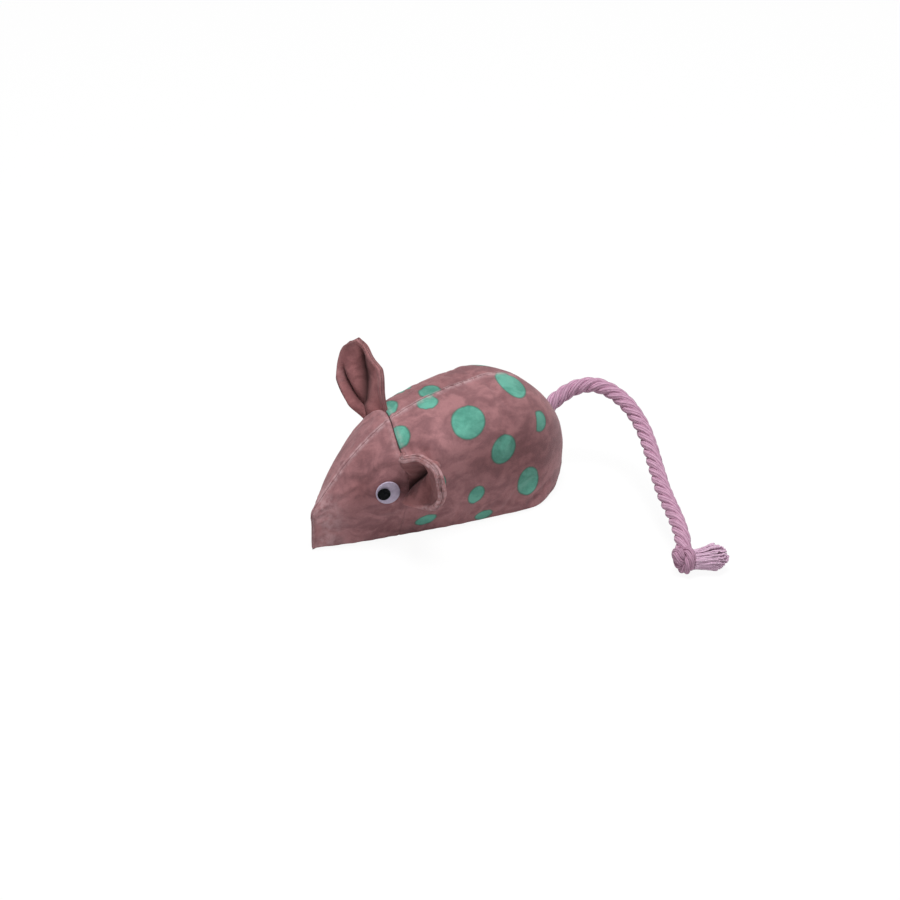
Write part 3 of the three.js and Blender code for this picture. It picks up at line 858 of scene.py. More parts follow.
class Finishes:
    """Every material of the mouse, made once."""

    def __init__(self) -> None:
        """Builds the materials from their finishes."""
        groups = Groups()
        cloth = {"roughness": 0.92, "sheen": 0.24, "sheen_roughness": 0.4, "sheen_tint": (1.0, 0.84, 0.88)}
        self.plain_velvet = Velvet("Plain velvet", **cloth).make(groups)
        self.spotted_velvet = Velvet("Spotted velvet", spotted=True, **cloth).make(groups)
        # The ears' crease colour is painted shade.
        ear = {"light": linear(168, 112, 113), "dark": linear(134, 85, 87), "deep": linear(32, 12, 13)}
        self.ear_velvet = Velvet("Ear velvet", **ear, **(cloth | {"sheen": 0.14})).make(groups)
        self.rope = Rope("Cotton rope", sheen=0.2).make(groups)
        frayed = {"light": linear(232, 196, 220), "dark": linear(188, 148, 174), "yarns": 3.0}
        # The knot's rope is a darker copy of the rope: painted shade.
        tight = {"light": linear(202, 156, 182), "dark": linear(106, 62, 90)}
        self.knotted = Rope("Knotted rope", sheen=0.15, **tight).make(groups)
        self.frayed = Rope("Frayed yarn", sheen=0.3, **frayed).make(groups)
        thread = {"light": linear(222, 190, 192), "dark": linear(160, 122, 126), "yarns": 3.0}
        self.thread = Rope("Sewing thread", **thread).make(groups)
        self.white_plastic = Plastic("White plastic", roughness=0.35).make(groups)
        black = {"light": linear(12, 13, 16), "dark": linear(5, 6, 8), "specular": 0.05}
        self.black_plastic = Plastic("Black plastic", roughness=0.4, **black).make(groups)
        clear = {"light": linear(120, 121, 126), "dark": linear(104, 105, 110), "specular": 0.1}
        self.clear_plastic = Plastic("Clear plastic", roughness=0.2, alpha=0.01, **clear).make(groups)
        self.wad = LooseFibre("Polyester wad").make(groups)
        leaf = {"light": linear(140, 150, 98), "dark": linear(82, 88, 52), "tangle": 1500.0}
        self.leaf = LooseFibre("Dried leaf", **leaf).make(groups)


# ------------------------------------------------------------------- the form


@dataclass(frozen=True)
class BodyForm:
    """The stuffed body's outer form, by the same rule as its solids."""

    length: float = 92 * MM
    height: float = 39.7 * MM
    base_half_width: float = 19.7 * MM
    flank_half_width: float = 21.4 * MM
    nose_height: float = 10.4 * MM
    widest_x: float = 24.4 * MM
    highest_x: float = 17.4 * MM
    base_powers: tuple[float, float] = (1.32, 1.5)
    flank_powers: tuple[float, float] = (3.7, 2.25)
    back_powers: tuple[float, float] = (2.99, 2.1)
    front_share: float = 0.6
    flank_shares: tuple[float, float] = (0.64, 0.78)
    shoulder_shares: tuple[float, float] = (0.91, 0.94)
    shoulder_height_share: float = 0.986
    neck_x: float = -16.3 * MM
    neck_wander: float = 4 * MM
    neck_width_shares: tuple = (-1.6, -1, -0.56, -0.36, 0, 0.2, 0.38, 0.54, 1, 1.6)
    neck_wander_shares: tuple = (-0.4, -0.5, -0.97, -0.72, 0, 0.36, 0.52, 0.1, -0.2, -0.2)

    def section(self, u: Points, side: int) -> list[Points]:
        """The four points that shape the section at a share u of the way from nose to rump.

        Args:
            u: the shares.
            side: the sign of Y.

        Returns:
            The points, from the base edge to the back seam.
        """
        front = np.minimum(u / self.front_share, 1)
        rear = np.maximum(u - self.front_share, 0) / (1 - self.front_share) * math.pi / 2
        run, turn = np.sin(rear), np.maximum(np.cos(rear), 0)
        nose_x, rump_x = -self.length / 2, self.length / 2
        base_x = nose_x + (self.widest_x - nose_x) * front
        base_x = base_x + (rump_x - self.widest_x) * run ** (2 / self.base_powers[1])
        back_x = nose_x + (self.highest_x - nose_x) * front
        back_x = back_x + (rump_x - self.highest_x) * run ** (2 / self.back_powers[1])
        left = 1 - front
        base_y = self.base_half_width * (1 - left ** self.base_powers[0]) * turn ** (2 / self.base_powers[1])
        flank_y = self.flank_half_width * (1 - left ** self.flank_powers[0])
        flank_y = flank_y * turn ** (2 / self.flank_powers[1])
        rise = self.nose_height + (self.height - self.nose_height) * (1 - left ** self.back_powers[0])
        back_z = rise * turn ** (2 / self.back_powers[1])
        lift = self.flank_shares[0] + (self.flank_shares[1] - self.flank_shares[0]) * front
        reach = self.shoulder_shares[0] + (self.shoulder_shares[1] - self.shoulder_shares[0]) * front
        nothing = np.zeros_like(base_x)
        return [
            np.stack((base_x, side * base_y, nothing), axis=-1),
            np.stack((base_x + (back_x - base_x) * lift, side * flank_y, lift * back_z), axis=-1),
            np.stack((back_x, side * reach * flank_y, self.shoulder_height_share * back_z), axis=-1),
            np.stack((back_x, nothing, back_z), axis=-1),
        ]

    def point(self, u: Points, v: Points, side: int) -> Points:
        """Places on the form: u from nose to rump and v from the base edge up to the back seam.

        Args:
            u: shares of the way from nose to rump.
            v: shares up from the base.
            side: the sign of Y.

        Returns:
            The places.
        """
        u, v = np.broadcast_arrays(np.asarray(u, float), np.asarray(v, float))
        a, b, c, d = self.section(u, side)
        w = v[..., None]
        return a * (1 - w) ** 3 + 3 * b * w * (1 - w) ** 2 + 3 * c * w**2 * (1 - w) + d * w**3

    def directions(self, u: Points, v: Points, side: int) -> tuple[Points, Points, Points]:
        """The ways along the body, up the flank and out of the cloth.

        Args:
            u: shares of the way from nose to rump.
            v: shares up from the base.
            side: the sign of Y.

        Returns:
            The three ways, each of length 1.
        """
        step = 1e-3
        u, v = np.clip(u, step, 0.992), np.clip(v, step, 1 - step)
        along = self.point(u + step, v, side) - self.point(u - step, v, side)
        upward = self.point(u, v + step, side) - self.point(u, v - step, side)
        return unit(along), unit(upward), unit(np.cross(along, upward)) * -side

    def neck_seam_x(self, y: Points) -> Points:
        """Where the neck seam runs, seen from above.

        Args:
            y: distances from the middle.

        Returns:
            The seam's place along the body.
        """
        knots = self.base_half_width * np.array(self.neck_width_shares, float)
        values = self.neck_x + self.neck_wander * np.array(self.neck_wander_shares, float)
        k = np.clip(np.searchsorted(knots, y, side="right") - 1, 0, len(knots) - 2)
        knots = np.concatenate(([2 * knots[0] - knots[1]], knots, [2 * knots[-1] - knots[-2]]))
        values = np.concatenate(([values[1]], values, [values[-2]]))
        t0, t1 = knots[k + 1], knots[k + 2]
        half, p = (t1 - t0) / 2, (y - t0) / (t1 - t0)
        before, after = half / (t0 - knots[k]), half / (knots[k + 3] - t1)
        return (
            values[k] * (-before * p**3 + 2 * before * p**2 - before * p)
            + values[k + 1] * ((1 + before) * p**3 + (-1.5 - 2 * before) * p**2 + (before - 0.5) * p + 1)
            + values[k + 2] * ((-1 - after) * p**3 + (1.5 + after) * p**2 + 0.5 * p)
            + values[k + 3] * (after * p**3 - after * p**2)
        )

    def neck_share(self, v: Points, side: int) -> Points:
        """The share u at which the neck seam crosses each v.

        Args:
            v: shares up from the base.
            side: the sign of Y.

        Returns:
            The shares u.
        """
        low, high = np.full_like(v, 0.05), np.full_like(v, 0.59)
        for _ in range(40):
            middle = (low + high) / 2
            place = self.point(middle, v, side)
            ahead = place[..., 0] < self.neck_seam_x(place[..., 1])
            low, high = np.where(ahead, middle, low), np.where(ahead, high, middle)
        return (low + high) / 2

    def find(self, x: float, z: float, side: int) -> tuple[float, float]:
        """The u and v of the place ahead of the widest part with a given x and height.

        Args:
            x: the place along the body.
            z: its height.
            side: the sign of Y.

        Returns:
            The u and v.
        """
        v = np.linspace(0, 1, 2001)
        low, high = np.zeros_like(v), np.full_like(v, 0.6)
        for _ in range(40):
            middle = (low + high) / 2
            ahead = self.point(middle, v, side)[..., 0] < x
            low, high = np.where(ahead, middle, low), np.where(ahead, high, middle)
        nearest = int(np.argmin(np.abs(self.point(low, v, side)[..., 2] - z)))
        return float(low[nearest]), float(v[nearest])


@dataclass(frozen=True)
class Spot:
    """A printed spot: its middle, half width, height for its width, tilt and where its front is cut off."""

    along: float
    up: float
    radius: float
    tall: float = 1.0
    tilt: float = 0.0
    cut: float = 9.0


LEFT_SPOTS = (
    Spot(0.453, 0.66, 5.8 * MM, 0.88, 24),
    Spot(0.525, 0.357, 4.1 * MM, 1.14, -43),
    Spot(0.587, 0.129, 4.0 * MM, 1.27, 5),
    Spot(0.428, 0.144, 2.7 * MM, 1.23, -20),
    Spot(0.451, 0.023, 3.0 * MM, 0.49, 5),
    Spot(0.288, 0.08, 3.5 * MM, 0.58),
    Spot(0.655, 0.871, 7.0 * MM, 0.63, -104),
    Spot(0.675, 0.471, 3.1 * MM, 1.02, 0, 0.5),
    Spot(0.397, 0.965, 3.3 * MM),
    Spot(0.258, 0.842, 4.1 * MM, 0.93, 33),
    Spot(0.303, 0.30, 4.2 * MM),
    Spot(0.825, 0.83, 4.3 * MM),
    Spot(0.93, 0.44, 3.8 * MM),
)
RIGHT_SPOTS = (
    Spot(0.302, 0.87, 4.3 * MM),
    Spot(0.436, 0.955, 3.4 * MM),
    Spot(0.40, 0.62, 5.0 * MM),
    Spot(0.53, 0.56, 4.6 * MM),
    Spot(0.45, 0.28, 4.4 * MM),
    Spot(0.34, 0.30, 4.0 * MM),
    Spot(0.63, 0.40, 4.8 * MM),
    Spot(0.41, 0.09, 4.1 * MM, 0.8),
    Spot(0.54, 0.14, 4.3 * MM),
    Spot(0.66, 0.16, 4.6 * MM),
    Spot(0.67, 0.72, 4.9 * MM),
    Spot(0.75, 0.42, 4.4 * MM),
    Spot(0.82, 0.86, 4.2 * MM),
    Spot(0.81, 0.16, 4.1 * MM),
    Spot(0.93, 0.62, 3.6 * MM),
)
SPOTS = {Side.LEFT: LEFT_SPOTS, Side.RIGHT: RIGHT_SPOTS}


def spot_edges(form: BodyForm, spots: tuple[Spot, ...], points: Points, side: int) -> Points:
    """How far each place is from the nearest printed edge, in millimetres, below 0 inside a spot.

    Args:
        form: the body's form.
        spots: the side's spots.
        points: the places.
        side: the sign of Y.

    Returns:
        The distances.
    """
    nearest = np.full(points.shape[:-1], 99.0)
    for spot in spots:
        u, v = np.array(spot.along), np.array(spot.up)
        along, _, out = form.directions(u, v, side)
        upward = np.cross(out, along) * -side
        away = points - form.point(u, v, side)
        flat = np.stack((away @ along, away @ upward), axis=-1)
        reach = np.linalg.norm(away, axis=-1) / np.maximum(np.linalg.norm(flat, axis=-1), 1e-9)
        tilt = math.radians(spot.tilt)
        x = (flat[..., 0] * math.cos(tilt) + flat[..., 1] * math.sin(tilt)) * reach
        y = (flat[..., 1] * math.cos(tilt) - flat[..., 0] * math.sin(tilt)) * reach
        a, b = spot.radius, spot.radius * spot.tall
        ring = np.sqrt((x / a) ** 2 + (y / b) ** 2)
        slope = np.sqrt((x / a**2) ** 2 + (y / b**2) ** 2) / np.maximum(ring, 1e-6)
        edge = np.maximum((ring - 1) / np.maximum(slope, 1e-6), -x - spot.cut * a)
        nearest = np.minimum(nearest, edge / MM)
    return nearest


@dataclass(frozen=True)
class Brushing:
    """A patch where the pile lies another way, darker with painted shade, or lighter with painted light where
    dark is below 0: its middle, how far it reaches and how dark it lies.
    """

    along: float
    up: float
    reach: float
    dark: float


# Patches of painted shade and light, taken for pile that lies another way.
LEFT_PAINTED_SHADING = (
    Brushing(0.12, 0.62, 6.5 * MM, 0.85),
    Brushing(0.165, 0.93, 5 * MM, 0.45),
    Brushing(0.60, 0.27, 13 * MM, 0.75),
    Brushing(0.46, 0.32, 6 * MM, 0.35),
    Brushing(0.372, 0.62, 7 * MM, -0.45),
)
RIGHT_PAINTED_SHADING = (
    Brushing(0.50, 0.97, 13 * MM, 0.5),
    Brushing(0.15, 0.5, 7 * MM, 0.6),
    Brushing(0.40, 0.35, 9 * MM, -0.4),
    Brushing(0.72, 0.35, 12 * MM, 0.6),
)
PAINTED_SHADING = {Side.LEFT: LEFT_PAINTED_SHADING, Side.RIGHT: RIGHT_PAINTED_SHADING}


def brushed_values(form: BodyForm, brushed: tuple[Brushing, ...], points: Points, side: int) -> Points:
    """How dark the pile lies at each place with its painted shade, below 0 where it is painted light.

    Args:
        form: the body's form.
        brushed: the side's patches of painted shade and light.
        points: the places.
        side: the sign of Y.

    Returns:
        From -1 to 1 for each place.
    """
    total = np.zeros(points.shape[:-1])
    wander = 1 + 0.3 * lumps(points, 6 * MM, 71.0)
    for place in brushed:
        middle = form.point(np.array(place.along), np.array(place.up), side)
        away = np.linalg.norm(points - middle, axis=-1) * wander
        total += place.dark * bump(away, place.reach)
    return total


# ---------------------------------------------------------------- sewn panels


@dataclass
class Opening:
    """A place where the seam parts round something that comes through it."""

    centre: Points
    along: Points
    half_length: float
    half_gap: float

    def part(self, points: Points) -> Points:
        """Points moved square to the seam until they clear the opening.

        Args:
            points: the places.

        Returns:
            The moved places.
        """
        away = points - self.centre
        run = away @ self.along
        square = away - run[..., None] * self.along
        distance = np.linalg.norm(square, axis=-1)
        share = np.clip(1 - (run / self.half_length) ** 2, 0, 1)
        wanted = (distance**3 + (self.half_gap * np.sqrt(share)) ** 3) ** (1 / 3)
        return points + unit(square) * (wanted - distance)[..., None]


@dataclass(frozen=True)
class SeamLook:
    """How the cloth behaves beside one seam: how it turns in, stands up and puckers, how much pale wear and
    painted sheen it takes, and how dark the painted shade in its seam line is.
    """

    roll: float
    ridge: float
    ridge_place: float
    pucker: float
    worn: float
    groove: float


class Seam(Enum):
    """The four borders of a side panel, each with its look."""

    NECK = SeamLook(0.5 * MM, 0.3 * MM, 1.2 * MM, 0.45 * MM, 0.35, 0.9)
    END = SeamLook(0.2 * MM, 0.3 * MM, 0.4 * MM, 0.1 * MM, 0.6, 0.1)
    BASE = SeamLook(1.1 * MM, 0.0, 2 * MM, 0.5 * MM, 0.1, 0.35)
    BACK = SeamLook(0.25 * MM, 0.4 * MM, 0.4 * MM, 0.3 * MM, 1.0, 0.3)


VELVET_CLOTH = {
    "quality": 6,
    "mass": 0.2,
    "tension_stiffness": 18,
    "compression_stiffness": 18,
    "shear_stiffness": 8,
    "bending_stiffness": 0.25,
    "air_damping": 3,
    "use_pressure": True,
}


@dataclass(frozen=True)
class FillingPush:
    """A cloth simulation of one panel, sewn down round its border while the filling pushes it out."""

    step: float = 1.3 * MM
    scale: float = 10.0
    slack: float = 0.025
    pressure: float = 5.0
    frames: int = 20
    cap: float = 0.9 * MM
    evened: float = 0.85
    even_rounds: int = 18

    def run(self, form: BodyForm, grid: Callable, size: tuple[float, float], sign: int) -> Points:
        """How far the cloth stands out from its plain form after the simulation.

        Args:
            form: the plain form.
            grid: gives u and v for shares along and up the panel.
            size: the panel's length and height.
            sign: the side of the mouse.

        Returns:
            Distances outwards for an even grid of places.
        """
        rows, columns = (max(int(length / self.step), 8) for length in size)
        u, v = grid(np.linspace(0, 1, rows), np.linspace(0, 1, columns))
        places = form.point(u, v, sign)
        out = form.directions(u, v, sign)[2]
        faces = grid_faces(rows, columns)[:, :: -sign]
        mesh = bpy.data.meshes.new("slack_panel")
        mesh.from_pydata((places.reshape(-1, 3) * self.scale).tolist(), [], faces.tolist())
        panel = in_scene("slack_panel", mesh)
        sewn = panel.vertex_groups.new(name="sewn")
        sewn.add([int(i) for i in rim_of(rows, columns)], 1.0, "REPLACE")
        cloth = panel.modifiers.new("Cloth", "CLOTH").settings
        for key, value in VELVET_CLOTH.items():
            setattr(cloth, key, value)
        cloth.vertex_group_mass = sewn.name
        cloth.shrink_min = -self.slack
        cloth.uniform_pressure_force = self.pressure
        cloth.effector_weights.gravity = 0
        scene = bpy.context.scene
        for frame_number in range(1, self.frames + 1):
            scene.frame_set(frame_number)
        settled = panel.evaluated_get(bpy.context.evaluated_depsgraph_get()).data
        moved = np.empty(rows * columns * 3)
        settled.vertices.foreach_get("co", moved)
        scene.frame_set(1)
        bpy.data.objects.remove(panel)
        bpy.data.meshes.remove(mesh)
        away = moved.reshape(rows, columns, 3) / self.scale - places
        rise = np.clip(np.sum(away * out, axis=-1), -self.cap * 3, self.cap * 3)
        LOG.info("panel settled: it moved %.2f mm at most", np.abs(rise).max() / MM)
        return np.clip(rise - self.evened * blurred(rise, self.even_rounds), -self.cap, self.cap)


@dataclass
class StuffedBody:
    """The four side panels and the base panel, sewn together and filled."""

    finishes: Finishes
    form: BodyForm = field(default_factory=BodyForm)
    cloth: float = 1.1 * MM
    seam_gap: float = 0.02 * MM
    floor_gap: float = 0.02 * MM
    base_inset: float = 1.7 * MM
    base_thickness: float = 1.15 * MM
    nose_round: float = 1.0 * MM
    nose_full: float = 1.25 * MM
    pucker_size: float = 2.8 * MM
    edge_step: float = 0.05 * MM
    middle_step: float = 0.5 * MM
    last_share: float = 0.994
    eye_hollow: float = 0.3 * MM
    eye_reach: float = 4.6 * MM
    eye_fade: float = 3 * MM
    tail_gap: float = 2.6 * MM
    tail_parting: float = 30 * MM
    ridge_spread: float = 0.6 * MM
    pucker_reach: float = 3.2 * MM
    pucker_start: float = 0.6 * MM
    worn_spread: float = 0.7 * MM
    groove_width: float = 0.34 * MM
    seam_hold: float = 3 * MM
    tucked_share: float = 0.4
    trial_places: int = 400
    swells: tuple = ((15 * MM, 11.0, 0.3 * MM), (6 * MM, 12.0, 0.1 * MM))
    base_round_share: float = 0.6
    base_roll: float = 0.5 * MM
    base_quilting: tuple = (9 * MM, 21.0, 0.1 * MM)
    base_narrowest: float = 0.8 * MM
    push: FillingPush = field(default_factory=FillingPush)
    openings: list[Opening] = field(default_factory=list)

    def blunted(self, x: Points, z: Points) -> Points:
        """Places along the body, with the nose rounded over and filled out below the back.

        Args:
            x: places along the body.
            z: their heights.

        Returns:
            The new places.
        """
        tip, rise = -self.form.length / 2, z / self.form.nose_height
        away = np.maximum(x - tip, 0)
        round_off = self.nose_round * (0.6 + 0.4 * np.clip(rise, 0, 1) + 0.3 * bump(rise - 1, 0.3))
        fuller = self.nose_full * bump(rise - 1.45, 0.42) * np.exp(-away / (5 * MM))
        return np.sqrt(away**2 + round_off**2) + tip - fuller

    def end_of(self, part: Part) -> float:
        """The share u at which a panel ends, away from the neck."""
        return 0.0 if part is Part.HEAD else self.last_share

    def grid(self, part: Part, sign: int, s: Points, t: Points) -> tuple[Points, Points]:
        """The u and v of a grid of places, from shares s away from the neck and t up from the base.

        Args:
            part: the panel.
            sign: the sign of Y.
            s: shares away from the neck.
            t: shares up from the base.

        Returns:
            The u and the v.
        """
        gap = self.seam_gap / self.form.length * (-1 if part is Part.HEAD else 1)
        u = (self.form.neck_share(t, sign) + gap)[None, :] * (1 - s)[:, None] + self.end_of(part) * s[:, None]
        return u, np.broadcast_to(t[None, :], u.shape)

    def sizes(self, part: Part, sign: int) -> tuple[Points, Points]:
        """Distances walked along the middle of a panel and up it, at even shares.

        Args:
            part: the panel.
            sign: the sign of Y.

        Returns:
            The distances along the panel and up it.
        """
        trial = np.linspace(0, 1, self.trial_places)
        neck = float(self.form.neck_share(np.array([0.5]), sign)[0])
        end = self.end_of(part)
        along = cumulative(self.form.point(neck + (end - neck) * trial, 0.5, sign), 0)
        upward = cumulative(self.form.point((neck + end) / 2, trial, sign), 0)
        return along, upward

    def shares(self, part: Part, sign: int) -> tuple[Points, Points]:
        """Where the grid lines of a panel run: shares away from the neck and up from the base.

        Args:
            part: the panel.
            sign: the sign of Y.

        Returns:
            The shares along and up.
        """
        trial = np.linspace(0, 1, self.trial_places)
        rows = [
            np.interp(spaced(walked[-1], self.edge_step, self.middle_step) * walked[-1], walked, trial)
            for walked in self.sizes(part, sign)
        ]
        return rows[0], rows[1]

    def seam_values(self, places: Points, v: Points, side: Side) -> tuple[Points, Points, Points, Points]:
        """What the seams do to each place of a panel.

        Args:
            places: the panel's plain form.
            v: the share up from the base of each place.
            side: the side of the mouse.

        Returns:
            How far the cloth turns in, the distance to the nearest seam, its pale wear with painted sheen,
            and its line of painted shade.
        """
        from_neck = cumulative(places, 0)
        from_base = cumulative(places, 1)
        distances = {
            Seam.NECK: (from_neck, places[:1]),
            Seam.END: (from_neck[-1][None, :] - from_neck, places[-1:]),
            Seam.BASE: (from_base, places[:, :1]),
            Seam.BACK: (from_base[:, -1][:, None] - from_base, places[:, -1:]),
        }
        ear = joint_of(f"ear_{side.word}_flex")
        ear_share = self.form.find(ear["pos_m"][0], ear["pos_m"][2], side.value)[1]
        above = 0.06 + 0.94 * ease((v - ear_share + 0.01) / 0.05)
        inward, nearest = np.zeros(v.shape), np.full(v.shape, 1.0)
        worn, groove = np.zeros(v.shape), np.zeros(v.shape)
        for number, (seam, (distance, foot)) in enumerate(distances.items()):
            look, strength = seam.value, above if seam is Seam.NECK else 1.0
            inside = np.clip(look.roll - distance, 0, look.roll)
            rolled = look.roll - np.sqrt(np.maximum(look.roll**2 - inside**2, 0))
            inward += rolled * (0.04 + 0.96 * strength)
            inward -= look.ridge * bump(distance - look.ridge_place, self.ridge_spread) * strength
            wave = lumps(np.broadcast_to(foot, places.shape), self.pucker_size, 3.0 + number) * look.pucker
            kept = 1 - np.exp(-distance / self.pucker_start)
            inward -= wave * np.exp(-distance / self.pucker_reach) * kept
            place = max(look.ridge_place, 0.4 * MM)
            # a pale band on the ridge beside the seam: wear, and painted sheen
            worn = np.maximum(worn, look.worn * bump(distance - place, self.worn_spread) * strength)
            # a dark line at the seam itself: painted shade
            groove = np.maximum(groove, look.groove * strength * ease(1 - distance / self.groove_width))
            nearest = np.minimum(nearest, distance)
        return inward, nearest, worn, groove

    def eye_mask(self, places: Points, side: Side) -> Points:
        """One behind the eye and nought past it."""
        away = np.linalg.norm(places - np.array(joint_of(f"eye_{side.word}_roll")["pos_m"]), axis=-1)
        return 1 - ease((away - self.eye_reach) / self.eye_fade)

    def risen(self, part: Part, side: Side, s: Points, t: Points, places: Points, v: Points) -> Points:
        """How far the filling pushes each place of a panel out.

        Args:
            part: the panel.
            side: the side of the mouse.
            s: shares away from the neck.
            t: shares up from the base.
            places: the panel's plain form.
            v: the share up from the base of each place.

        Returns:
            Distances outwards.
        """
        broad, small = (lumps(places, size, seed) * high for size, seed, high in self.swells)
        rise = broad + small
        sign = side.value
        size = tuple(float(walked[-1]) for walked in self.sizes(part, sign))
        settled = self.push.run(self.form, lambda a, b: self.grid(part, sign, a, b), size, sign)
        weights = [cubic_weights(row, count) for row, count in zip((s, t), settled.shape)]
        calm = 0.75 - 0.4 * ease((v - 0.75) / 0.2) if part is Part.HEAD else 1.0
        return rise + weights[0] @ settled @ weights[1].T * calm

    def panel(self, part: Part, side: Side) -> Piece:
        """One side panel, as cloth folded in along its seams.

        Args:
            part: the panel.
            side: the side of the mouse.

        Returns:
            The piece.
        """
        sign, head = side.value, part is Part.HEAD
        s, t = self.shares(part, sign)
        u, v = self.grid(part, sign, s, t)
        places = self.form.point(u, v, sign)
        out = self.form.directions(u, v, sign)[2]
        inward, nearest, worn, groove = self.seam_values(places, v, side)
        inward = inward - self.risen(part, side, s, t, places, v) * ease(nearest / self.seam_hold)
        if head:
            mask = self.eye_mask(places, side)
            inward = inward * (1 - mask) + self.eye_hollow * mask
            # Pale patches round the nose: wear, and painted sheen.
            nose_wear_and_sheen = ease((0.12 - u) / 0.1) * ease(0.5 + 2 * lumps(places, 7 * MM, 51.0))
            worn = np.maximum(worn, 0.75 * nose_wear_and_sheen)
        outer = places - out * inward[..., None]
        inner = places - out * np.maximum(self.cloth, inward + self.cloth * self.tucked_share)[..., None]
        for grid in (outer, inner):
            grid[..., 0] = self.blunted(grid[..., 0], grid[..., 2])
            grid[..., 1] = sign * np.maximum(sign * grid[..., 1], self.seam_gap)
            grid[..., 2] = np.maximum(grid[..., 2], self.floor_gap)
        for opening in self.openings:
            outer, inner = opening.part(outer), opening.part(inner)
        values = {"worn": worn, "groove": groove, "fold": np.zeros_like(worn)}
        # painted shade and light over the pile, from the side's patches
        values["stroked"] = brushed_values(self.form, PAINTED_SHADING[side], places, sign)
        if not head:
            values["spot_edge"] = spot_edges(self.form, SPOTS[side], places, sign)
        material = self.finishes.plain_velvet if head else self.finishes.spotted_velvet
        name = f"{part.value}_{side.word}"
        piece = shell_piece(f"{name}_cloth", outer, inner, material, values)
        return settle(piece, "mouse", name)

    def base(self) -> Piece:
        """The flat base panel, a little quilted by the filling above it.

        Returns:
            The piece.
        """
        round_from, roll_radius = self.base_round_share, self.base_roll
        quilt_size, quilt_seed, quilt_rise = self.base_quilting
        share = np.linspace(round_from, self.last_share, 50)[1:]
        share = np.concatenate((np.linspace(0, round_from, 70), share))
        edge = self.form.section(share, 1)[0]
        tangent = unit(np.gradient(edge, axis=0))
        half = edge[:, 1] - self.base_inset * np.abs(tangent[:, 0])
        x = edge[:, 0] - np.where(share > round_from, self.base_inset * np.abs(tangent[:, 1]), 0)
        keep = half > self.base_narrowest
        x, half = x[keep], half[keep]
        x = self.blunted(x, x * 0) + 0.3 * MM * (x < -0.04)
        y = half[:, None] * (spaced(2.0, 0.02, 0.07) * 2 - 1)[None, :]
        flat = np.stack((np.broadcast_to(x[:, None], y.shape), y, np.zeros_like(y)), axis=-1)
        near = np.minimum(half[:, None] - np.abs(y), np.minimum(x - x[0], x[-1] - x)[:, None])
        fold = np.clip(roll_radius - near, 0, roll_radius)
        roll = roll_radius - np.sqrt(np.maximum(roll_radius**2 - fold**2, 0))
        under, above = flat.copy(), flat.copy()
        quilted = (lumps(flat, quilt_size, quilt_seed) + 1) * quilt_rise
        under[..., 2] = roll + quilted * ease(near / self.seam_hold)
        above[..., 2] = self.base_thickness - roll
        # A pale band near the base's edge: wear, and painted sheen.
        values = {"worn": bump(near - 0.9 * MM, 0.5 * MM) * 0.4}
        # A dark line at the very edge of the base: painted shade.
        values |= {"groove": 0.6 * ease(1 - near / (0.3 * MM)), "fold": np.zeros_like(near)}
        piece = shell_piece("base_cloth", under, above, self.finishes.plain_velvet, values)
        return settle(piece, "mouse", "base_panel")

    def build(self, ears: list["Ear"], rope_way: Points) -> None:
        """Makes every panel, parted round the ears' roots and round the rope, which leaves along rope_way.

        Args:
            ears: the ears.
            rope_way: the way that the rope leaves.
        """
        root = np.array(joint_of("tail_swing")["pos_m"])
        self.openings.append(Opening(root, rope_way, self.tail_parting, self.tail_gap))
        self.openings += [ear.opening() for ear in ears]
        for side in Side:
            for part in Part:
                self.panel(part, side)
        self.base()


# ----------------------------------------------------------------------- ears


@dataclass(frozen=True)
class Crease:
    """A fold that runs up an ear: how deep and wide, where it runs, and how high its shoulders stand."""

    depth: float
    width: float
    root: float
    tip: float
    start: float
    end: float
    shoulder: float = 0.0

    def at(self, a: Points, b: Points) -> tuple[Points, Points]:
        """The fold's depth, and its share of the deepest, at places a up from the root and b across.

        Args:
            a: shares from root to tip.
            b: shares across, from -1 to 1.

        Returns:
            The depth and the share.
        """
        aside = np.abs(b - (self.root + (self.tip - self.root) * a)) / self.width
        share = ease((a - self.start) / 0.14) * ease((self.end - a) / 0.2)
        hollow = np.exp(-(aside**2)) * share
        raised = np.exp(-(((aside - 2.6) / 1.5) ** 2)) * share
        return self.depth * hollow - self.shoulder * raised, hollow


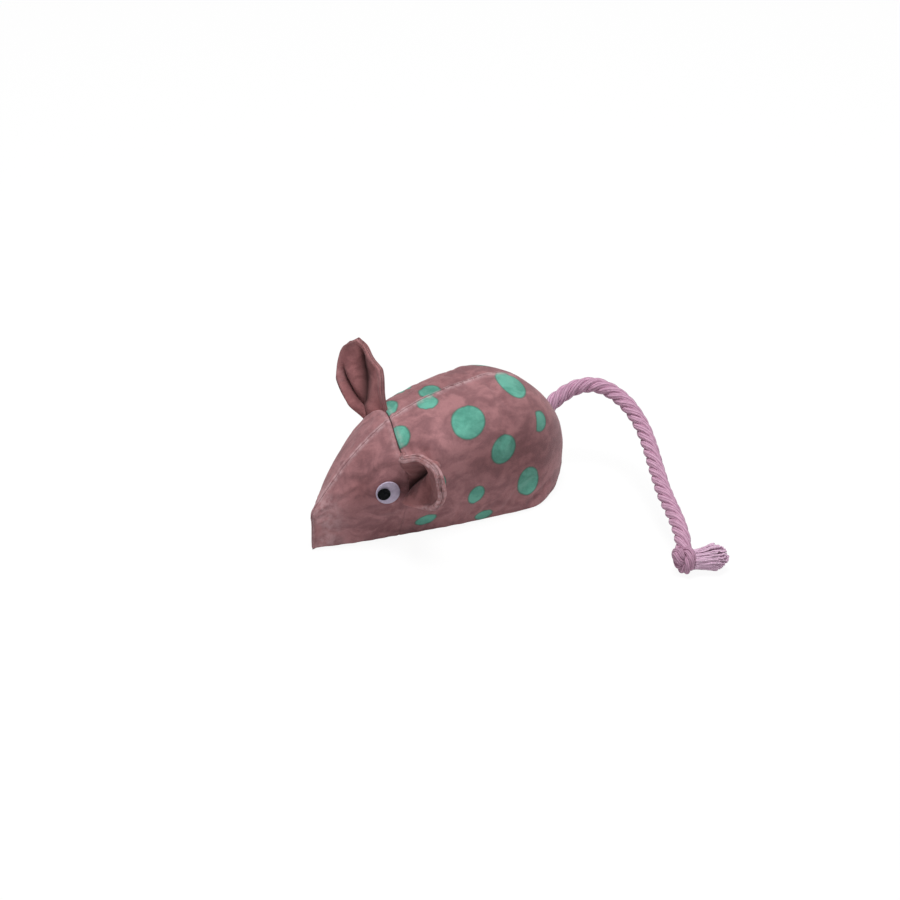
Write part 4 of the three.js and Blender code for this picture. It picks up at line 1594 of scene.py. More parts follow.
@dataclass
class Ear:
    """Two leaves of cloth sewn round the edge, folded and let into the neck seam."""

    finishes: Finishes
    form: BodyForm
    side: Side
    cup: float
    curl: float
    twist: float
    lean: float
    creases: tuple[Crease, ...]
    root_up: float
    root_down: float
    tip_power: float = 2.0
    tip_power_up: float = 2.0
    sway: float = 0.0
    # share of painted shade laid over the front leaf's hollow face, fading at its rim
    shade: float = 0.0
    lift: float = 0.0
    widest: float = 0.56
    length: float = 23 * MM
    half_width: float = 9.3 * MM
    root_half_width: float = 3 * MM
    tip_half_width: float = 2.2 * MM
    cloth: float = 0.9 * MM
    gap: float = 0.05 * MM
    slit: float = 0.16 * MM
    rim_radius: float = 0.6 * MM
    rim_shares: tuple[float, float] = (0.42, 0.58)
    hem_width: float = 0.7 * MM
    stitch_inset: float = 1.8 * MM
    slit_reach: float = 1.2 * MM
    opening_spare: float = 0.4 * MM
    opening_gap: float = 1.0 * MM
    root_depth: float = 0.9 * MM
    root_share: float = 0.34
    droop: float = 0.0
    # how strongly the rim's hem, its pale wear with painted sheen and its line of painted shade show
    rim_wear: float = 1.0
    blend_length: float = 4.5 * MM

    def half(self, a: Points, b: Points) -> Points:
        """The half width on the side of b, at a share of the way from root to tip.

        Args:
            a: shares from root to tip.
            b: shares across, from -1 to 1.

        Returns:
            The half widths.
        """
        near = np.sin(np.minimum(a / self.widest, 1) * math.pi / 2)
        far = np.clip((a - self.widest) / (1 - self.widest), 0, 1)
        power = np.where(b > 0, self.tip_power_up, self.tip_power)
        fall = 1 - np.maximum(1 - far**power, 0) ** (1 / power)
        wide = self.root_half_width + (self.half_width - self.root_half_width) * near
        return wide - (self.half_width - self.tip_half_width) * fall

    def own_form(self, a: Points, b: Points) -> tuple[Points, Points]:
        """The surface between the leaves in the ear's own axes, and how far into a crease each place lies,
        which the finish paints as shade.

        Args:
            a: shares from root to tip.
            b: shares across, from -1 to 1.

        Returns:
            The places and the shares.
        """
        full = np.sin(math.pi * np.sqrt(a))
        bend = self.cup * np.maximum(full, 1 / 13)
        radius = self.half(a, b) / bend
        free = np.sin(math.pi * a)
        folds = [crease.at(a, b) for crease in self.creases]
        # the share of painted crease shade at each place
        deep = np.maximum.reduce([hollow for _, hollow in folds])
        x, y = radius * np.sin(bend * b), radius * (1 - np.cos(bend * b)) - sum(depth for depth, _ in folds)
        x = x + np.minimum(b, 0) * self.droop * np.sin(math.pi * a**0.55) + self.sway * ease((a - 0.6) / 0.4)
        x = x + self.lift * ease(a / 0.3)
        turn = self.twist * free
        x, y = x * np.cos(turn) - y * np.sin(turn), x * np.sin(turn) + y * np.cos(turn)
        rise = self.curl * a
        lift = self.length * (1 - np.cos(rise)) / self.curl
        z = self.length * np.sin(rise) / self.curl - y * np.sin(rise)
        return np.stack((x, lift + y * np.cos(rise), z), axis=-1), deep

    def place(self) -> tuple[Points, Points]:
        """The root's place, and the ear's own axes as rows.

        Returns:
            The place and the axes.
        """
        joint = joint_of(f"ear_{self.side.word}_flex")
        sign = self.side.value
        root = np.array(joint["pos_m"])
        up = unit(np.array(joint["axis"]) * sign)
        u, v = self.form.find(root[0], root[2], sign)
        out = self.form.directions(np.array(u), np.array(v), sign)[2]
        out = unit(out - up * (out @ up))
        rearward = np.cross(out, up) * sign
        along = out * math.cos(self.lean) + rearward * math.sin(self.lean)
        return root, np.stack((up, np.cross(along, up), along))

    def root_line(self, b: Points) -> Points:
        """The places in the neck seam that the root is sewn to, for places b across the ear.

        Args:
            b: shares across, from -1 to 1.

        Returns:
            The places.
        """
        sign = self.side.value
        v = np.linspace(0, 1, 1500)
        seam = self.form.point(self.form.neck_share(v, sign), v, sign)
        walked = cumulative(seam, 0)
        root, axes = self.place()
        middle = walked[int(np.argmin(np.linalg.norm(seam - root, axis=1)))]
        reach = np.where(b > 0, b * self.root_up, b * self.root_down)
        rising = 1 if axes[0] @ (seam[-1] - seam[0]) > 0 else -1
        share = np.interp(middle + rising * reach, walked, v)
        out = self.form.directions(self.form.neck_share(share, sign), share, sign)[2]
        return self.form.point(self.form.neck_share(share, sign), share, sign) - out * self.root_depth

    def opening(self) -> Opening:
        """The parting of the seam that the root comes through.

        Returns:
            The parting.
        """
        ends = self.root_line(np.array((-1.0, 1.0)))
        length = float(np.linalg.norm(ends[1] - ends[0]))
        half = length / 2 + self.opening_spare
        return Opening(ends.mean(axis=0), unit(ends[1] - ends[0]), half, self.opening_gap)

    def surface(self, a: Points, b: Points) -> tuple[Points, Points]:
        """The surface between the leaves in the mouse's axes, and how far into a crease each place lies,
        which the finish paints as shade.

        Args:
            a: shares from root to tip.
            b: shares across, from -1 to 1.

        Returns:
            The places and the shares.
        """
        root, axes = self.place()
        own, deep = self.own_form(a, b)
        placed = (own * (1, -self.side.value, 1)) @ axes + root
        sewn = self.root_line(b)
        away = sewn + np.broadcast_to(axes[2] * self.length, placed.shape) * a[..., None]
        share = ease(a / self.root_share)[..., None]
        return away * (1 - share) + placed * share, deep

    def skins(self, a: Points, b: Points, front: bool) -> tuple[Points, Points, Values]:
        """The two faces of a leaf at places a up from the root and b across.

        Args:
            a: shares from root to tip.
            b: shares across, from -1 to 1.
            front: whether it is the leaf on the hollow side.

        Returns:
            The outer face, the inner face and the numbers that the finish reads.
        """
        middle, deep = self.surface(a, b)
        step = 1e-3
        upward = self.surface(np.minimum(a + step, 1), b)[0] - self.surface(np.maximum(a - step, 0), b)[0]
        across = self.surface(a, np.minimum(b + step, 1))[0] - self.surface(a, np.maximum(b - step, -1))[0]
        square = unit(np.cross(upward, across)) * -self.side.value * (1 if front else -1)
        edge = np.minimum((1 - np.abs(b)) * self.half(a, b), (1 - a) * self.length)
        inside = np.clip(1 - edge / self.rim_radius, 0, 1)
        pinched = (0.66 + 0.34 * np.minimum(a / 0.16, 1)) * self.cloth
        fuzz = lumps(middle, 2.2 * MM, 31.0 + front) * 0.08 + lumps(middle, 6 * MM, 33.0 + front) * 0.15
        # How strongly the rim shows: its hem, pale wear with painted sheen, and a line of painted shade.
        shown = np.where(b < 0, ease((a - 0.3) / 0.3), ease(a / 0.25)) * self.rim_wear
        hem = bump(edge - self.hem_width, self.hem_width) * 0.35
        hem = hem - bump(edge - self.stitch_inset, self.hem_width / 2) * 0.2
        thin, swell = self.rim_shares
        thick = pinched * (thin + swell * np.sqrt(np.maximum(1 - inside**2, 0)))
        thick = thick + (fuzz * ease(edge / (1 * MM)) + hem * shown * (1 - inside)) * MM
        wander = self.slit * np.maximum(lumps(middle, 5 * MM, 37.0), 0)
        parted = self.gap + wander * bump(edge, self.slit_reach)
        parted = parted * (1 - 0.85 * ease(b / 0.4) * (1 - ease((a - 0.75) / 0.2)))
        values = {
            # pale wear with painted sheen along the rim
            "worn": shown * bump(edge - 0.3 * MM, 1.2 * MM) * (1.0 if front else 0.8),
            # a line of painted shade along the rim's stitch line
            "groove": 0.25 * shown * bump(edge - self.stitch_inset, 0.3 * MM),
            # painted shade in the creases and over the front leaf's hollow face
            "fold": np.maximum(deep, self.shade * ease(edge / (2 * MM))) * front,
        }
        return middle + square * (parted + thick)[..., None], middle + square * parted[..., None], values

    def leaf(self, front: bool) -> Piece:
        """One leaf of cloth, rounded over at its rim and curled from its root outwards.

        Args:
            front: whether it is the leaf on the hollow side.

        Returns:
            The piece.
        """
        a = spaced(1.0, 0.004, 0.018)[:, None]
        b = (spaced(2.0, 0.006, 0.035) * 2 - 1)[None, :]
        outer, inner, values = self.skins(*np.broadcast_arrays(a, b), front)
        name = f"ear_{self.side.word}_{'front' if front else 'back'}"
        piece = shell_piece(f"{name}_cloth", outer, inner, self.finishes.ear_velvet, values)
        root, axes = self.place()
        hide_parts(name)
        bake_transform(piece)
        return report(piece)

    def build(self) -> None:
        """Makes both leaves."""
        self.leaf(True)
        self.leaf(False)


# ----------------------------------------------------------------------- eyes


@dataclass
class Eye:
    """A white disc with a loose black pupil under a clear cover."""

    finishes: Finishes
    side: Side
    radius: float = 3.7 * MM
    disc: float = 0.5 * MM
    gap: float = 0.3 * MM
    cover_height: float = 1.2 * MM
    wall: float = 0.3 * MM
    dome: float = 0.3 * MM
    pupil_radius: float = 2.0 * MM
    pupil_thickness: float = 0.3 * MM
    play: float = 0.07 * MM
    bevel: float = 0.12 * MM

    def place(self) -> Matrix:
        """Its own axes: X towards the nose and Z out of the cloth.

        Returns:
            The place as a matrix.
        """
        joint = joint_of(f"eye_{self.side.word}_roll")
        out = Vector(joint["axis"]).normalized()
        forward = Vector((-1, 0, 0))
        forward = (forward - out * forward.dot(out)).normalized()
        turn = Matrix((forward, out.cross(forward), out)).transposed().to_4x4()
        return Matrix.Translation(Vector(joint["pos_m"])) @ turn

    def round_edge(self, radius: float, low: float, high: float) -> Points:
        """The outline of a disc with rounded edges.

        Args:
            radius: the disc's radius.
            low: its underside.
            high: its top.

        Returns:
            Radius and height of each point.
        """
        angles = np.linspace(0, math.pi / 2, 5)
        lacks = [(self.bevel * (1 - math.sin(t)), self.bevel * (1 - math.cos(t))) for t in angles]
        lower = [(radius - side, low + up) for side, up in lacks]
        upper = [(radius - up, high - side) for side, up in lacks]
        return np.array([(0, low), *lower, *upper, (0, high)])

    def cover_outline(self, floor: float) -> Points:
        """The outline of the clear cover, a cap with a low dome over its own hollow.

        Args:
            floor: the height of the disc's face.

        Returns:
            Radius and height of each point.
        """
        inner, rim = self.radius - self.wall, floor + self.cover_height - self.dome
        swell = np.linspace(0, 1, 9) * math.pi / 2
        top = [(self.radius * math.cos(s), rim + self.dome * math.sin(s)) for s in swell]
        under = [(inner * x / self.radius, z - self.wall) for x, z in top[::-1]]
        return np.array([(0, under[0][1]), *under[1:], (inner, floor), (self.radius, floor), *top])

    def build(self) -> None:
        """Makes the disc, the pupil and the cover."""
        word, floor = self.side.word, self.disc + self.gap
        aside = self.radius - self.wall - self.play - self.pupil_radius
        disc = self.round_edge(self.radius, 0, self.disc)
        pupil = self.round_edge(self.pupil_radius, floor, floor + self.pupil_thickness)
        for name, outline, shift, slot, body, node in (
            ("white", disc, 0, "white_plastic", "mouse", "disc"),
            ("black", pupil, aside, "black_plastic", f"pupil_{word}", "pupil"),
            ("dome", self.cover_outline(floor), 0, "clear_plastic", "mouse", "cover"),
        ):
            place = self.place() @ Matrix.Translation((shift, 0, 0))
            piece = turned_piece(f"eye_{word}_{name}", outline, place, getattr(self.finishes, slot))
            settle(piece, body, f"eye_{word}_{node}")


# ----------------------------------------------------------------------- rope


def shape_group(name: str, numbers: tuple[str, ...], counts: tuple[str, ...]) -> tuple:
    """A new geometry group that takes a shape, named numbers, counts and a material.

    Args:
        name: the group's name.
        numbers: the names of its numbers.
        counts: the names of its whole numbers.

    Returns:
        The maker on the group's tree, the sockets of its input node, and its output node.
    """
    inputs = {"Geometry": SHAPE, **dict.fromkeys(numbers, NUMBER), **dict.fromkeys(counts, COUNT)}
    made = new_group(name, ShapeTree, inputs | {"Material": MATERIAL}, {"Geometry": SHAPE})
    made[0].tree.is_modifier = True
    return made


def run_tree(
    name: str, points: Points, group: NodeTree, inputs: dict, vectors: Values | None = None
) -> Piece:
    """Runs a geometry tree on a line of points and keeps what it makes as a plain mesh.

    Args:
        name: the piece's name.
        points: the line's points.
        group: the tree.
        inputs: values for its named inputs.
        vectors: directions kept for each point.

    Returns:
        The piece, at the origin.
    """
    line = bpy.data.meshes.new(name + "_line")
    line.from_pydata(np.asarray(points).tolist(), [(i, i + 1) for i in range(len(points) - 1)], [])
    keep_values(line, vectors, "FLOAT_VECTOR", "vector")
    carrier = in_scene(name + "_line", line)
    modifier = carrier.modifiers.new("Nodes", "NODES")
    modifier.node_group = group
    sockets = [s for s in group.interface.items_tree if s.item_type == "SOCKET" and s.in_out == "INPUT"]
    identifiers = {s.name: s.identifier for s in sockets}
    for title, value in inputs.items():
        modifier[identifiers[title]] = value
    mesh = worked_out(carrier)
    mesh.name = name
    bpy.data.objects.remove(carrier)
    bpy.data.meshes.remove(line)
    mesh.polygons.foreach_set("use_smooth", [True] * len(mesh.polygons))
    return in_scene(name, mesh)


def rope_tree() -> NodeTree:
    """Strands laid round a line to the left, each a tube, with a core between them.

    Returns:
        The node group.
    """
    numbers = ("Lay", "Centre Radius", "Strand Radius")
    tree, get, out = shape_group("Laid strands", numbers, ("Strands", "Samples", "Sides"))
    line = tree.shape("MeshToCurve", {0: get["Geometry"]})
    line = tree.shape("ResampleCurve", {"Curve": line, "Count": get["Samples"]})
    run = tree.run()
    copies = {"Geometry": line, "Amount": get["Strands"]}
    copies, index = tree.add("GeometryNodeDuplicateElements", copies, domain="SPLINE").outputs
    start = tree.times(index, tree.math("DIVIDE", math.tau, get["Strands"]))
    angle = tree.math("MULTIPLY_ADD", run, tree.math("DIVIDE", -math.tau, get["Lay"]), start)
    normal, tangent = tree.shape("InputNormal"), tree.shape("InputTangent")
    level = tree.scaled(normal, tree.math("COSINE", angle))
    rising = tree.scaled(tree.vector("CROSS_PRODUCT", tangent, normal), tree.math("SINE", angle))
    aside = tree.vector("ADD", level, rising)
    uneven = tree.noise(tree.vector("ADD", tree.here(), tree.scaled(aside, 0.01)), 260.0, 1.0)
    radius = tree.times(get["Centre Radius"], tree.math("MULTIPLY_ADD", uneven, 0.12, 0.94))
    laid = tree.shape("SetPosition", {"Geometry": copies, "Offset": tree.scaled(aside, radius)})
    laid = tree.store(laid, "run", tree.math("MULTIPLY_ADD", index, 0.0137, run))
    core = tree.shape("CurvePrimitiveCircle", {"Resolution": 8, "Radius": get["Centre Radius"]})
    core = tree.shape("Transform", {"Geometry": core, "Scale": (0.8, 0.8, 0.8)})
    strands = tree.yarns(laid, get["Sides"], get["Strand Radius"])
    return tree.put_out(tree.joined(strands, tree.tubes(line, core)), get["Material"], out)


def tuft_tree() -> NodeTree:
    """Yarn ends that leave one place side by side, spread, wave and stop at uneven lengths.

    Returns:
        The node group.
    """
    numbers = ("Length", "Root Radius", "Spread", "Yarn Radius", "Wave", "Spacing")
    tree, get, out = shape_group("Frayed yarns", numbers, ("Seed",))
    disc = {"Vertices": 32, "Radius": get["Root Radius"]}
    disc = tree.shape("MeshCircle", disc, fill_type="TRIANGLE_FAN")
    spread = {"Mesh": disc, "Distance Min": get["Spacing"], "Density Max": 3e7, "Seed": get["Seed"]}
    roots = tree.shape("DistributePointsOnFaces", spread, distribute_method="POISSON")
    straight = tree.shape("CurvePrimitiveLine", {"End": (0, 0, 1)})
    straight = tree.shape("ResampleCurve", {"Curve": straight, "Count": 22})
    length = tree.add("ShaderNodeVectorMath", {0: tree.here()}, operation="LENGTH").outputs["Value"]
    outness = tree.math("POWER", tree.math("DIVIDE", length, get["Root Radius"]), 2.5)
    shorter = tree.math("MULTIPLY_ADD", outness, -0.36, 1.0)
    tall = tree.times(tree.times(shorter, tree.varied(0.9, 1.0, get["Seed"])), get["Length"])
    yarns = {"Points": roots, "Instance": straight, "Scale": tree.xyz(1.0, 1.0, tall)}
    real = tree.shape("RealizeInstances", {0: tree.shape("InstanceOnPoints", yarns)})
    place = tree.here()
    x, y, z = tree.add("ShaderNodeSeparateXYZ", {0: place}).outputs
    share = tree.math("DIVIDE", z, get["Length"])
    outward = tree.scaled(tree.xyz(x, y), tree.times(tree.span(share, 0.0, 0.75), get["Spread"]))
    warp = tree.vector("MULTIPLY", place, (1500.0, 1500.0, 260.0))
    noise = tree.add("ShaderNodeTexNoise", {"Vector": warp, "Scale": 1.0, "Detail": 1.0}).outputs[1]
    waving = tree.times(tree.math("POWER", share, 0.6), get["Wave"])
    wave = tree.scaled(tree.vector("SUBTRACT", noise, (0.5, 0.5, 0.5)), waving)
    moved = tree.shape("SetPosition", {"Geometry": real, "Offset": tree.vector("ADD", outward, wave)})
    yarns = tree.yarns(tree.store(moved, "run", tree.run()), 7, get["Yarn Radius"])
    return tree.put_out(yarns, get["Material"], out)


@dataclass
class Tail:
    """The rope that leaves the rump, its knot, its frayed end and the end held inside the filling."""

    finishes: Finishes
    diameter: float = 4.8 * MM
    strands: int = 4
    lay: float = 15 * MM
    strand_sides: int = 12
    overlap: float = 1.1
    path_points: int = 36
    line_points: int = 160
    knot_points: int = 90
    rope_step: float = 0.42 * MM
    knot_step: float = 0.35 * MM
    inner_step: float = 0.5 * MM
    inner_start: tuple = (2.7, 6, 10)
    lowest: float = 0.05 * MM
    inner_length: float = 14 * MM
    inner_radius: float = 2.0 * MM
    stop_turn_radius: float = 2.3 * MM
    knot_centre: tuple = (-5.2, -75.6, 4.2)
    knot_rope_radius: float = 1.75 * MM
    knot_turn_radius: float = 2.4 * MM
    tuft_heading: float = math.radians(-25)
    tuft_length: float = 11 * MM
    tuft_start: float = 2.8 * MM
    tuft_radius: float = 2.8 * MM
    tuft_spread: float = 0.46
    yarn_radius: float = 0.31 * MM
    yarn_spacing: float = 0.36 * MM
    yarn_wave: float = 1.5 * MM
    blend_length: float = 9 * MM
    route: tuple = (
        (5.5, -0.5, 23.1), (10.4, -2.5, 25.9), (14.7, -6.5, 27.4), (17.4, -11.8, 26.7),
        (18.5, -17.5, 25.0), (18.4, -23.1, 22.7), (17.2, -28.6, 20.4), (15.2, -33.9, 18.2),
        (12.8, -39.1, 16.1), (10.3, -44.3, 14.2), (7.8, -49.5, 12.5), (5.6, -55.0, 10.9),
        (3.5, -60.5, 9.6), (1.1, -65.7, 8.6), (-1.2, -70.0, 7.2), (-3.5, -73.3, 5.7),
    )
    knot_turns: tuple = (
        (-25, 1.45), (15, 1.5), (60, 1.3), (105, 0.8), (150, 0.2),
        (195, -0.4), (240, -0.9), (285, -1.3), (330, -1.6), (375, -1.7),
    )
    knot_end: tuple = ((1.5, 0.9, -1.5), (0.5, 0.5, -0.6), (0.1, 0.1, 0.6), (0, 0, 2.0), (0, 0, 3.2))
    stop_turns: tuple = (
        (0, -0.8), (50, -0.5), (100, -0.1), (150, 0.3),
        (200, 0.6), (250, 0.9), (300, 1.2), (350, 1.4),
    )
    stop_end: tuple = ((1.2, -0.4, 1.6), (0.2, 0, -0.2))

    def root(self) -> Points:
        """Where the rope leaves the body."""
        return np.array(joint_of("tail_swing")["pos_m"])

    def from_root(self, point: tuple) -> Points:
        """A point given ahead of the root, aside of it and over the floor, in millimetres."""
        x, y, z = point
        return np.array((self.root()[0] + x * MM, y * MM, z * MM))

    def way_out(self) -> Points:
        """The way that the rope leaves the body."""
        return unit(self.from_root(self.route[0]) - self.root())

    def centreline(self, count: int) -> Points:
        """The line that the rope follows outside the body."""
        return smooth_path(np.array([self.root(), *(self.from_root(p) for p in self.route)]), count)

    def twisted(self, name: str, line: Points, radius: float, tree: NodeTree, step: float) -> Piece:
        """A length of the rope along a line, at a given radius over its strands.

        Args:
            name: the piece's name, which says where the rope is knotted and so takes the rope darkened with
                painted shade.
            line: its centre line.
            radius: how far the strands reach from the line.
            tree: the tree that lays the strands.
            step: the distance from one ring of a strand to the next.

        Returns:
            The piece.
        """
        share = math.sin(math.pi / self.strands)
        strand = radius * share / (1 + share)
        inputs = {
            "Strands": self.strands,
            "Lay": self.lay * radius / (self.diameter / 2),
            "Centre Radius": radius - strand,
            "Strand Radius": strand * self.overlap,
            "Samples": max(int(float(cumulative(line, 0)[-1]) / step), 12),
            "Sides": self.strand_sides,
            "Material": self.finishes.knotted if "knot" in name else self.finishes.rope,
        }
        return run_tree(name, line, tree, inputs)

    def wound(self, centre: Points, along: Points, radius: float, turns: tuple, end: tuple) -> list[Points]:
        """Points of a rope that turns round a centre and ends through its own loop.

        Args:
            centre: the middle of the knot.
            along: the level way of its axis.
            radius: the turn's radius.
            turns: degrees round the axis from the top, and millimetres along it.
            end: millimetres up, aside and along for the points that follow the turn.

        Returns:
            The points.
        """
        upward = np.array((0.0, 0, 1))
        toward = np.cross(along, upward)
        points = []
        for degrees, shift in turns:
            spoke = upward * math.cos(math.radians(degrees)) + toward * math.sin(math.radians(degrees))
            points.append(centre + spoke * radius + along * shift * MM)
        tail = [(upward * up + toward * side + along * shift) * MM for up, side, shift in end]
        return points + [centre + step for step in tail]

    def knot_line(self) -> Points:
        """The line of the rope through its end knot: one tight turn round its own end.

        Returns:
            Points along the line.
        """
        last, end = (self.from_root(p) for p in self.route[-2:])
        before = end + unit(end - last) * -0.5 * MM
        centre, turn = self.from_root(self.knot_centre), self.knot_turn_radius
        wound = self.wound(centre, self.heading(), turn, self.knot_turns, self.knot_end)
        return smooth_path(np.array([before, *wound]), self.knot_points)

    def heading(self) -> Points:
        """The level way that the tuft points."""
        return np.array((math.cos(self.tuft_heading), math.sin(self.tuft_heading), 0))

    def build(self) -> None:
        """Makes the rope, its knot, the tuft and the inner end."""
        tree = rope_tree()
        line = self.centreline(self.line_points)
        path = self.centreline(self.path_points)
        rope = self.twisted("tail_rope_strands", line, self.diameter / 2, tree, self.rope_step)
        knotted = self.knot_line()
        knot = self.twisted("tail_knot_strands", knotted, self.knot_rope_radius, tree, self.knot_step)
        tuft = self.tuft()
        root = self.root()
        for piece, node in ((rope, "tail_rope"), (knot, "tail_knot"), (tuft, "tail_tuft")):
            self.keep_off_floor(piece)
            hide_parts(node)
            report(piece)
        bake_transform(rope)
        for piece in (knot, tuft):
            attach(piece, "tail")
        self.inner_end(tree)

    def tuft(self) -> Piece:
        """The frayed yarns past the knot.

        Returns:
            The piece.
        """
        inputs = {
            "Length": self.tuft_length,
            "Root Radius": self.tuft_radius,
            "Spread": self.tuft_spread,
            "Yarn Radius": self.yarn_radius,
            "Wave": self.yarn_wave,
            "Spacing": self.yarn_spacing,
            "Seed": 4,
            "Material": self.finishes.frayed,
        }
        piece = run_tree("tail_tuft_yarns", np.zeros((2, 3)), tuft_tree(), inputs)
        along = Vector(self.heading())
        turn = Vector((0, 0, 1)).rotation_difference(along).to_matrix().to_4x4()
        start = Vector(self.from_root(self.knot_centre)) + along * self.tuft_start
        piece.data.transform(Matrix.Translation(start) @ turn)
        return piece

    def keep_off_floor(self, piece: Piece) -> None:
        """Presses what would lie below the floor up onto it."""
        for corner in piece.data.vertices:
            corner.co.z = max(corner.co.z, self.lowest)

    def inner_end(self, tree: NodeTree) -> Piece:
        """The rope's end inside the filling, with the stop knot that holds it there.

        Args:
            tree: the group that lays the strands.

        Returns:
            The piece.
        """
        root, ahead = self.root(), np.array((-1.0, 0, 0))
        stop = root + ahead * self.inner_length
        points = [root + ahead * run * MM for run in self.inner_start]
        points += self.wound(stop, ahead, self.stop_turn_radius, self.stop_turns, self.stop_end)
        line = smooth_path(np.array(points), self.knot_points)
        piece = self.twisted("tail_inner_strands", line, self.inner_radius, tree, self.inner_step)
        return settle(piece, "mouse", "tail_inner_end")


# ------------------------------------------------------------------- stitches


def stitch_tree() -> NodeTree:
    """Short arched stitches at even distances along a line, laid the way that the line's points say.

    Returns:
        The node group.
    """
    numbers = ("Spacing", "Stitch Length", "Thread Radius", "Uneven")
    tree, get, out = shape_group("Stitches", numbers, ("Seed",))
    line = {"Curve": tree.shape("MeshToCurve", {0: get["Geometry"]}), "Length": get["Spacing"]}
    line = tree.shape("ResampleCurve", line, mode="LENGTH")
    half, thread = tree.times(get["Stitch Length"], 0.5), get["Thread Radius"]
    low, top = tree.times(thread, -1.2), tree.xyz(z=tree.times(thread, 2.2))
    arch = {"Resolution": 8, "Start": tree.xyz(tree.times(half, -1.0), z=low), "Middle": top}
    arch = tree.shape("CurveQuadraticBezier", arch | {"End": tree.xyz(half, z=low)})
    stitch = tree.yarns(tree.store(arch, "run", tree.run()), 6, thread)
    named = [
        tree.add("GeometryNodeInputNamedAttribute", {"Name": title}, data_type="FLOAT_VECTOR")
        for title in ("out", "across")
    ]
    out_way, across = (node.outputs["Attribute"] for node in named)
    turn = tree.get("FunctionNodeAlignRotationToVector", {"Vector": out_way}, axis="Z")
    aligned = {"Rotation": turn, "Vector": across}
    turn = tree.get("FunctionNodeAlignRotationToVector", aligned, axis="X", pivot_axis="Z")
    skew = tree.varied(tree.times(get["Uneven"], -1.0), get["Uneven"], get["Seed"])
    skew = tree.get("FunctionNodeEulerToRotation", {0: tree.xyz(z=skew)})
    turned = {"Rotation": turn, "Rotate By": skew}
    turn = tree.get("FunctionNodeRotateRotation", turned, rotation_space="LOCAL")
    row = tree.shape("InstanceOnPoints", {"Points": line, "Instance": stitch, "Rotation": turn})
    return tree.put_out(row, get["Material"], out)


def closing_stitches(form: BodyForm, finishes: Finishes) -> Piece:
    """The hand stitches over the top of the back, where the body was closed once it was filled.

    Args:
        form: the body's form.
        finishes: the materials.

    Returns:
        The piece.
    """
    u = np.linspace(0.475, 0.605, 60)
    line = form.point(u, np.ones_like(u), -1)
    across = np.broadcast_to((0.0, 1, 0), line.shape)
    out = np.cross(unit(np.gradient(line, axis=0)), across)
    wander = lumps(line, 3 * MM, 61.0)[:, None] * 0.15 * MM
    inputs = {"Spacing": 1.55 * MM, "Stitch Length": 1.7 * MM, "Thread Radius": 0.13 * MM, "Uneven": 0.5}
    inputs |= {"Seed": 9, "Material": finishes.thread}
    lifted = line + out * 0.22 * MM + across * wander
    ways = {"across": across, "out": out}
    piece = run_tree("back_closing_stitches", lifted, stitch_tree(), inputs, ways)
    return settle(piece, "mouse")


# -------------------------------------------------------------------- filling


def leaf_tree() -> NodeTree:
    """Small curled flakes heaped on nested skins.

    Returns:
        The node group.
    """
    tree, get, out = shape_group("Leaf flakes", ("Flake", "Density"), ("Seed",))
    ball = tree.shape("MeshIcoSphere", {"Radius": 1.0, "Subdivisions": 3})
    sizes = [tuple(s * share for s in (6.6 * MM, 8.1 * MM, 7.1 * MM)) for share in (1.0, 0.72, 0.42, 0.18)]
    skins = tree.joined(*(tree.shape("Transform", {"Geometry": ball, "Scale": size}) for size in sizes))
    spread = {"Mesh": skins, "Density": get["Density"], "Seed": get["Seed"]}
    points = tree.shape("DistributePointsOnFaces", spread)
    flake = tree.shape("MeshGrid", {"Size X": 1.0, "Size Y": 0.6, "Vertices X": 5, "Vertices Y": 3})
    x, y, _ = tree.add("ShaderNodeSeparateXYZ", {0: tree.here()}).outputs
    square = tree.times(x, x)
    curl = tree.xyz(y=tree.times(y, tree.times(square, -2.6)), z=tree.times(square, 0.9))
    flake = tree.shape("SetPosition", {"Geometry": flake, "Offset": curl})
    thick = {"Mesh": flake, "Offset Scale": 0.08, "Individual": False}
    closed = tree.joined(tree.shape("ExtrudeMesh", thick), tree.shape("FlipFaces", {"Mesh": flake}))
    merged = tree.shape("MergeByDistance", {"Geometry": closed, "Distance": 1e-4})
    spin = {0: (0, 0, 0), 1: (6.28, 6.28, 6.28), "Seed": get["Seed"]}
    spin = tree.get("FunctionNodeRandomValue", spin, data_type="FLOAT_VECTOR")
    heap = {"Points": points, "Instance": merged, "Rotation": spin, "Scale": get["Flake"]}
    return tree.put_out(tree.shape("InstanceOnPoints", heap), get["Material"], out)


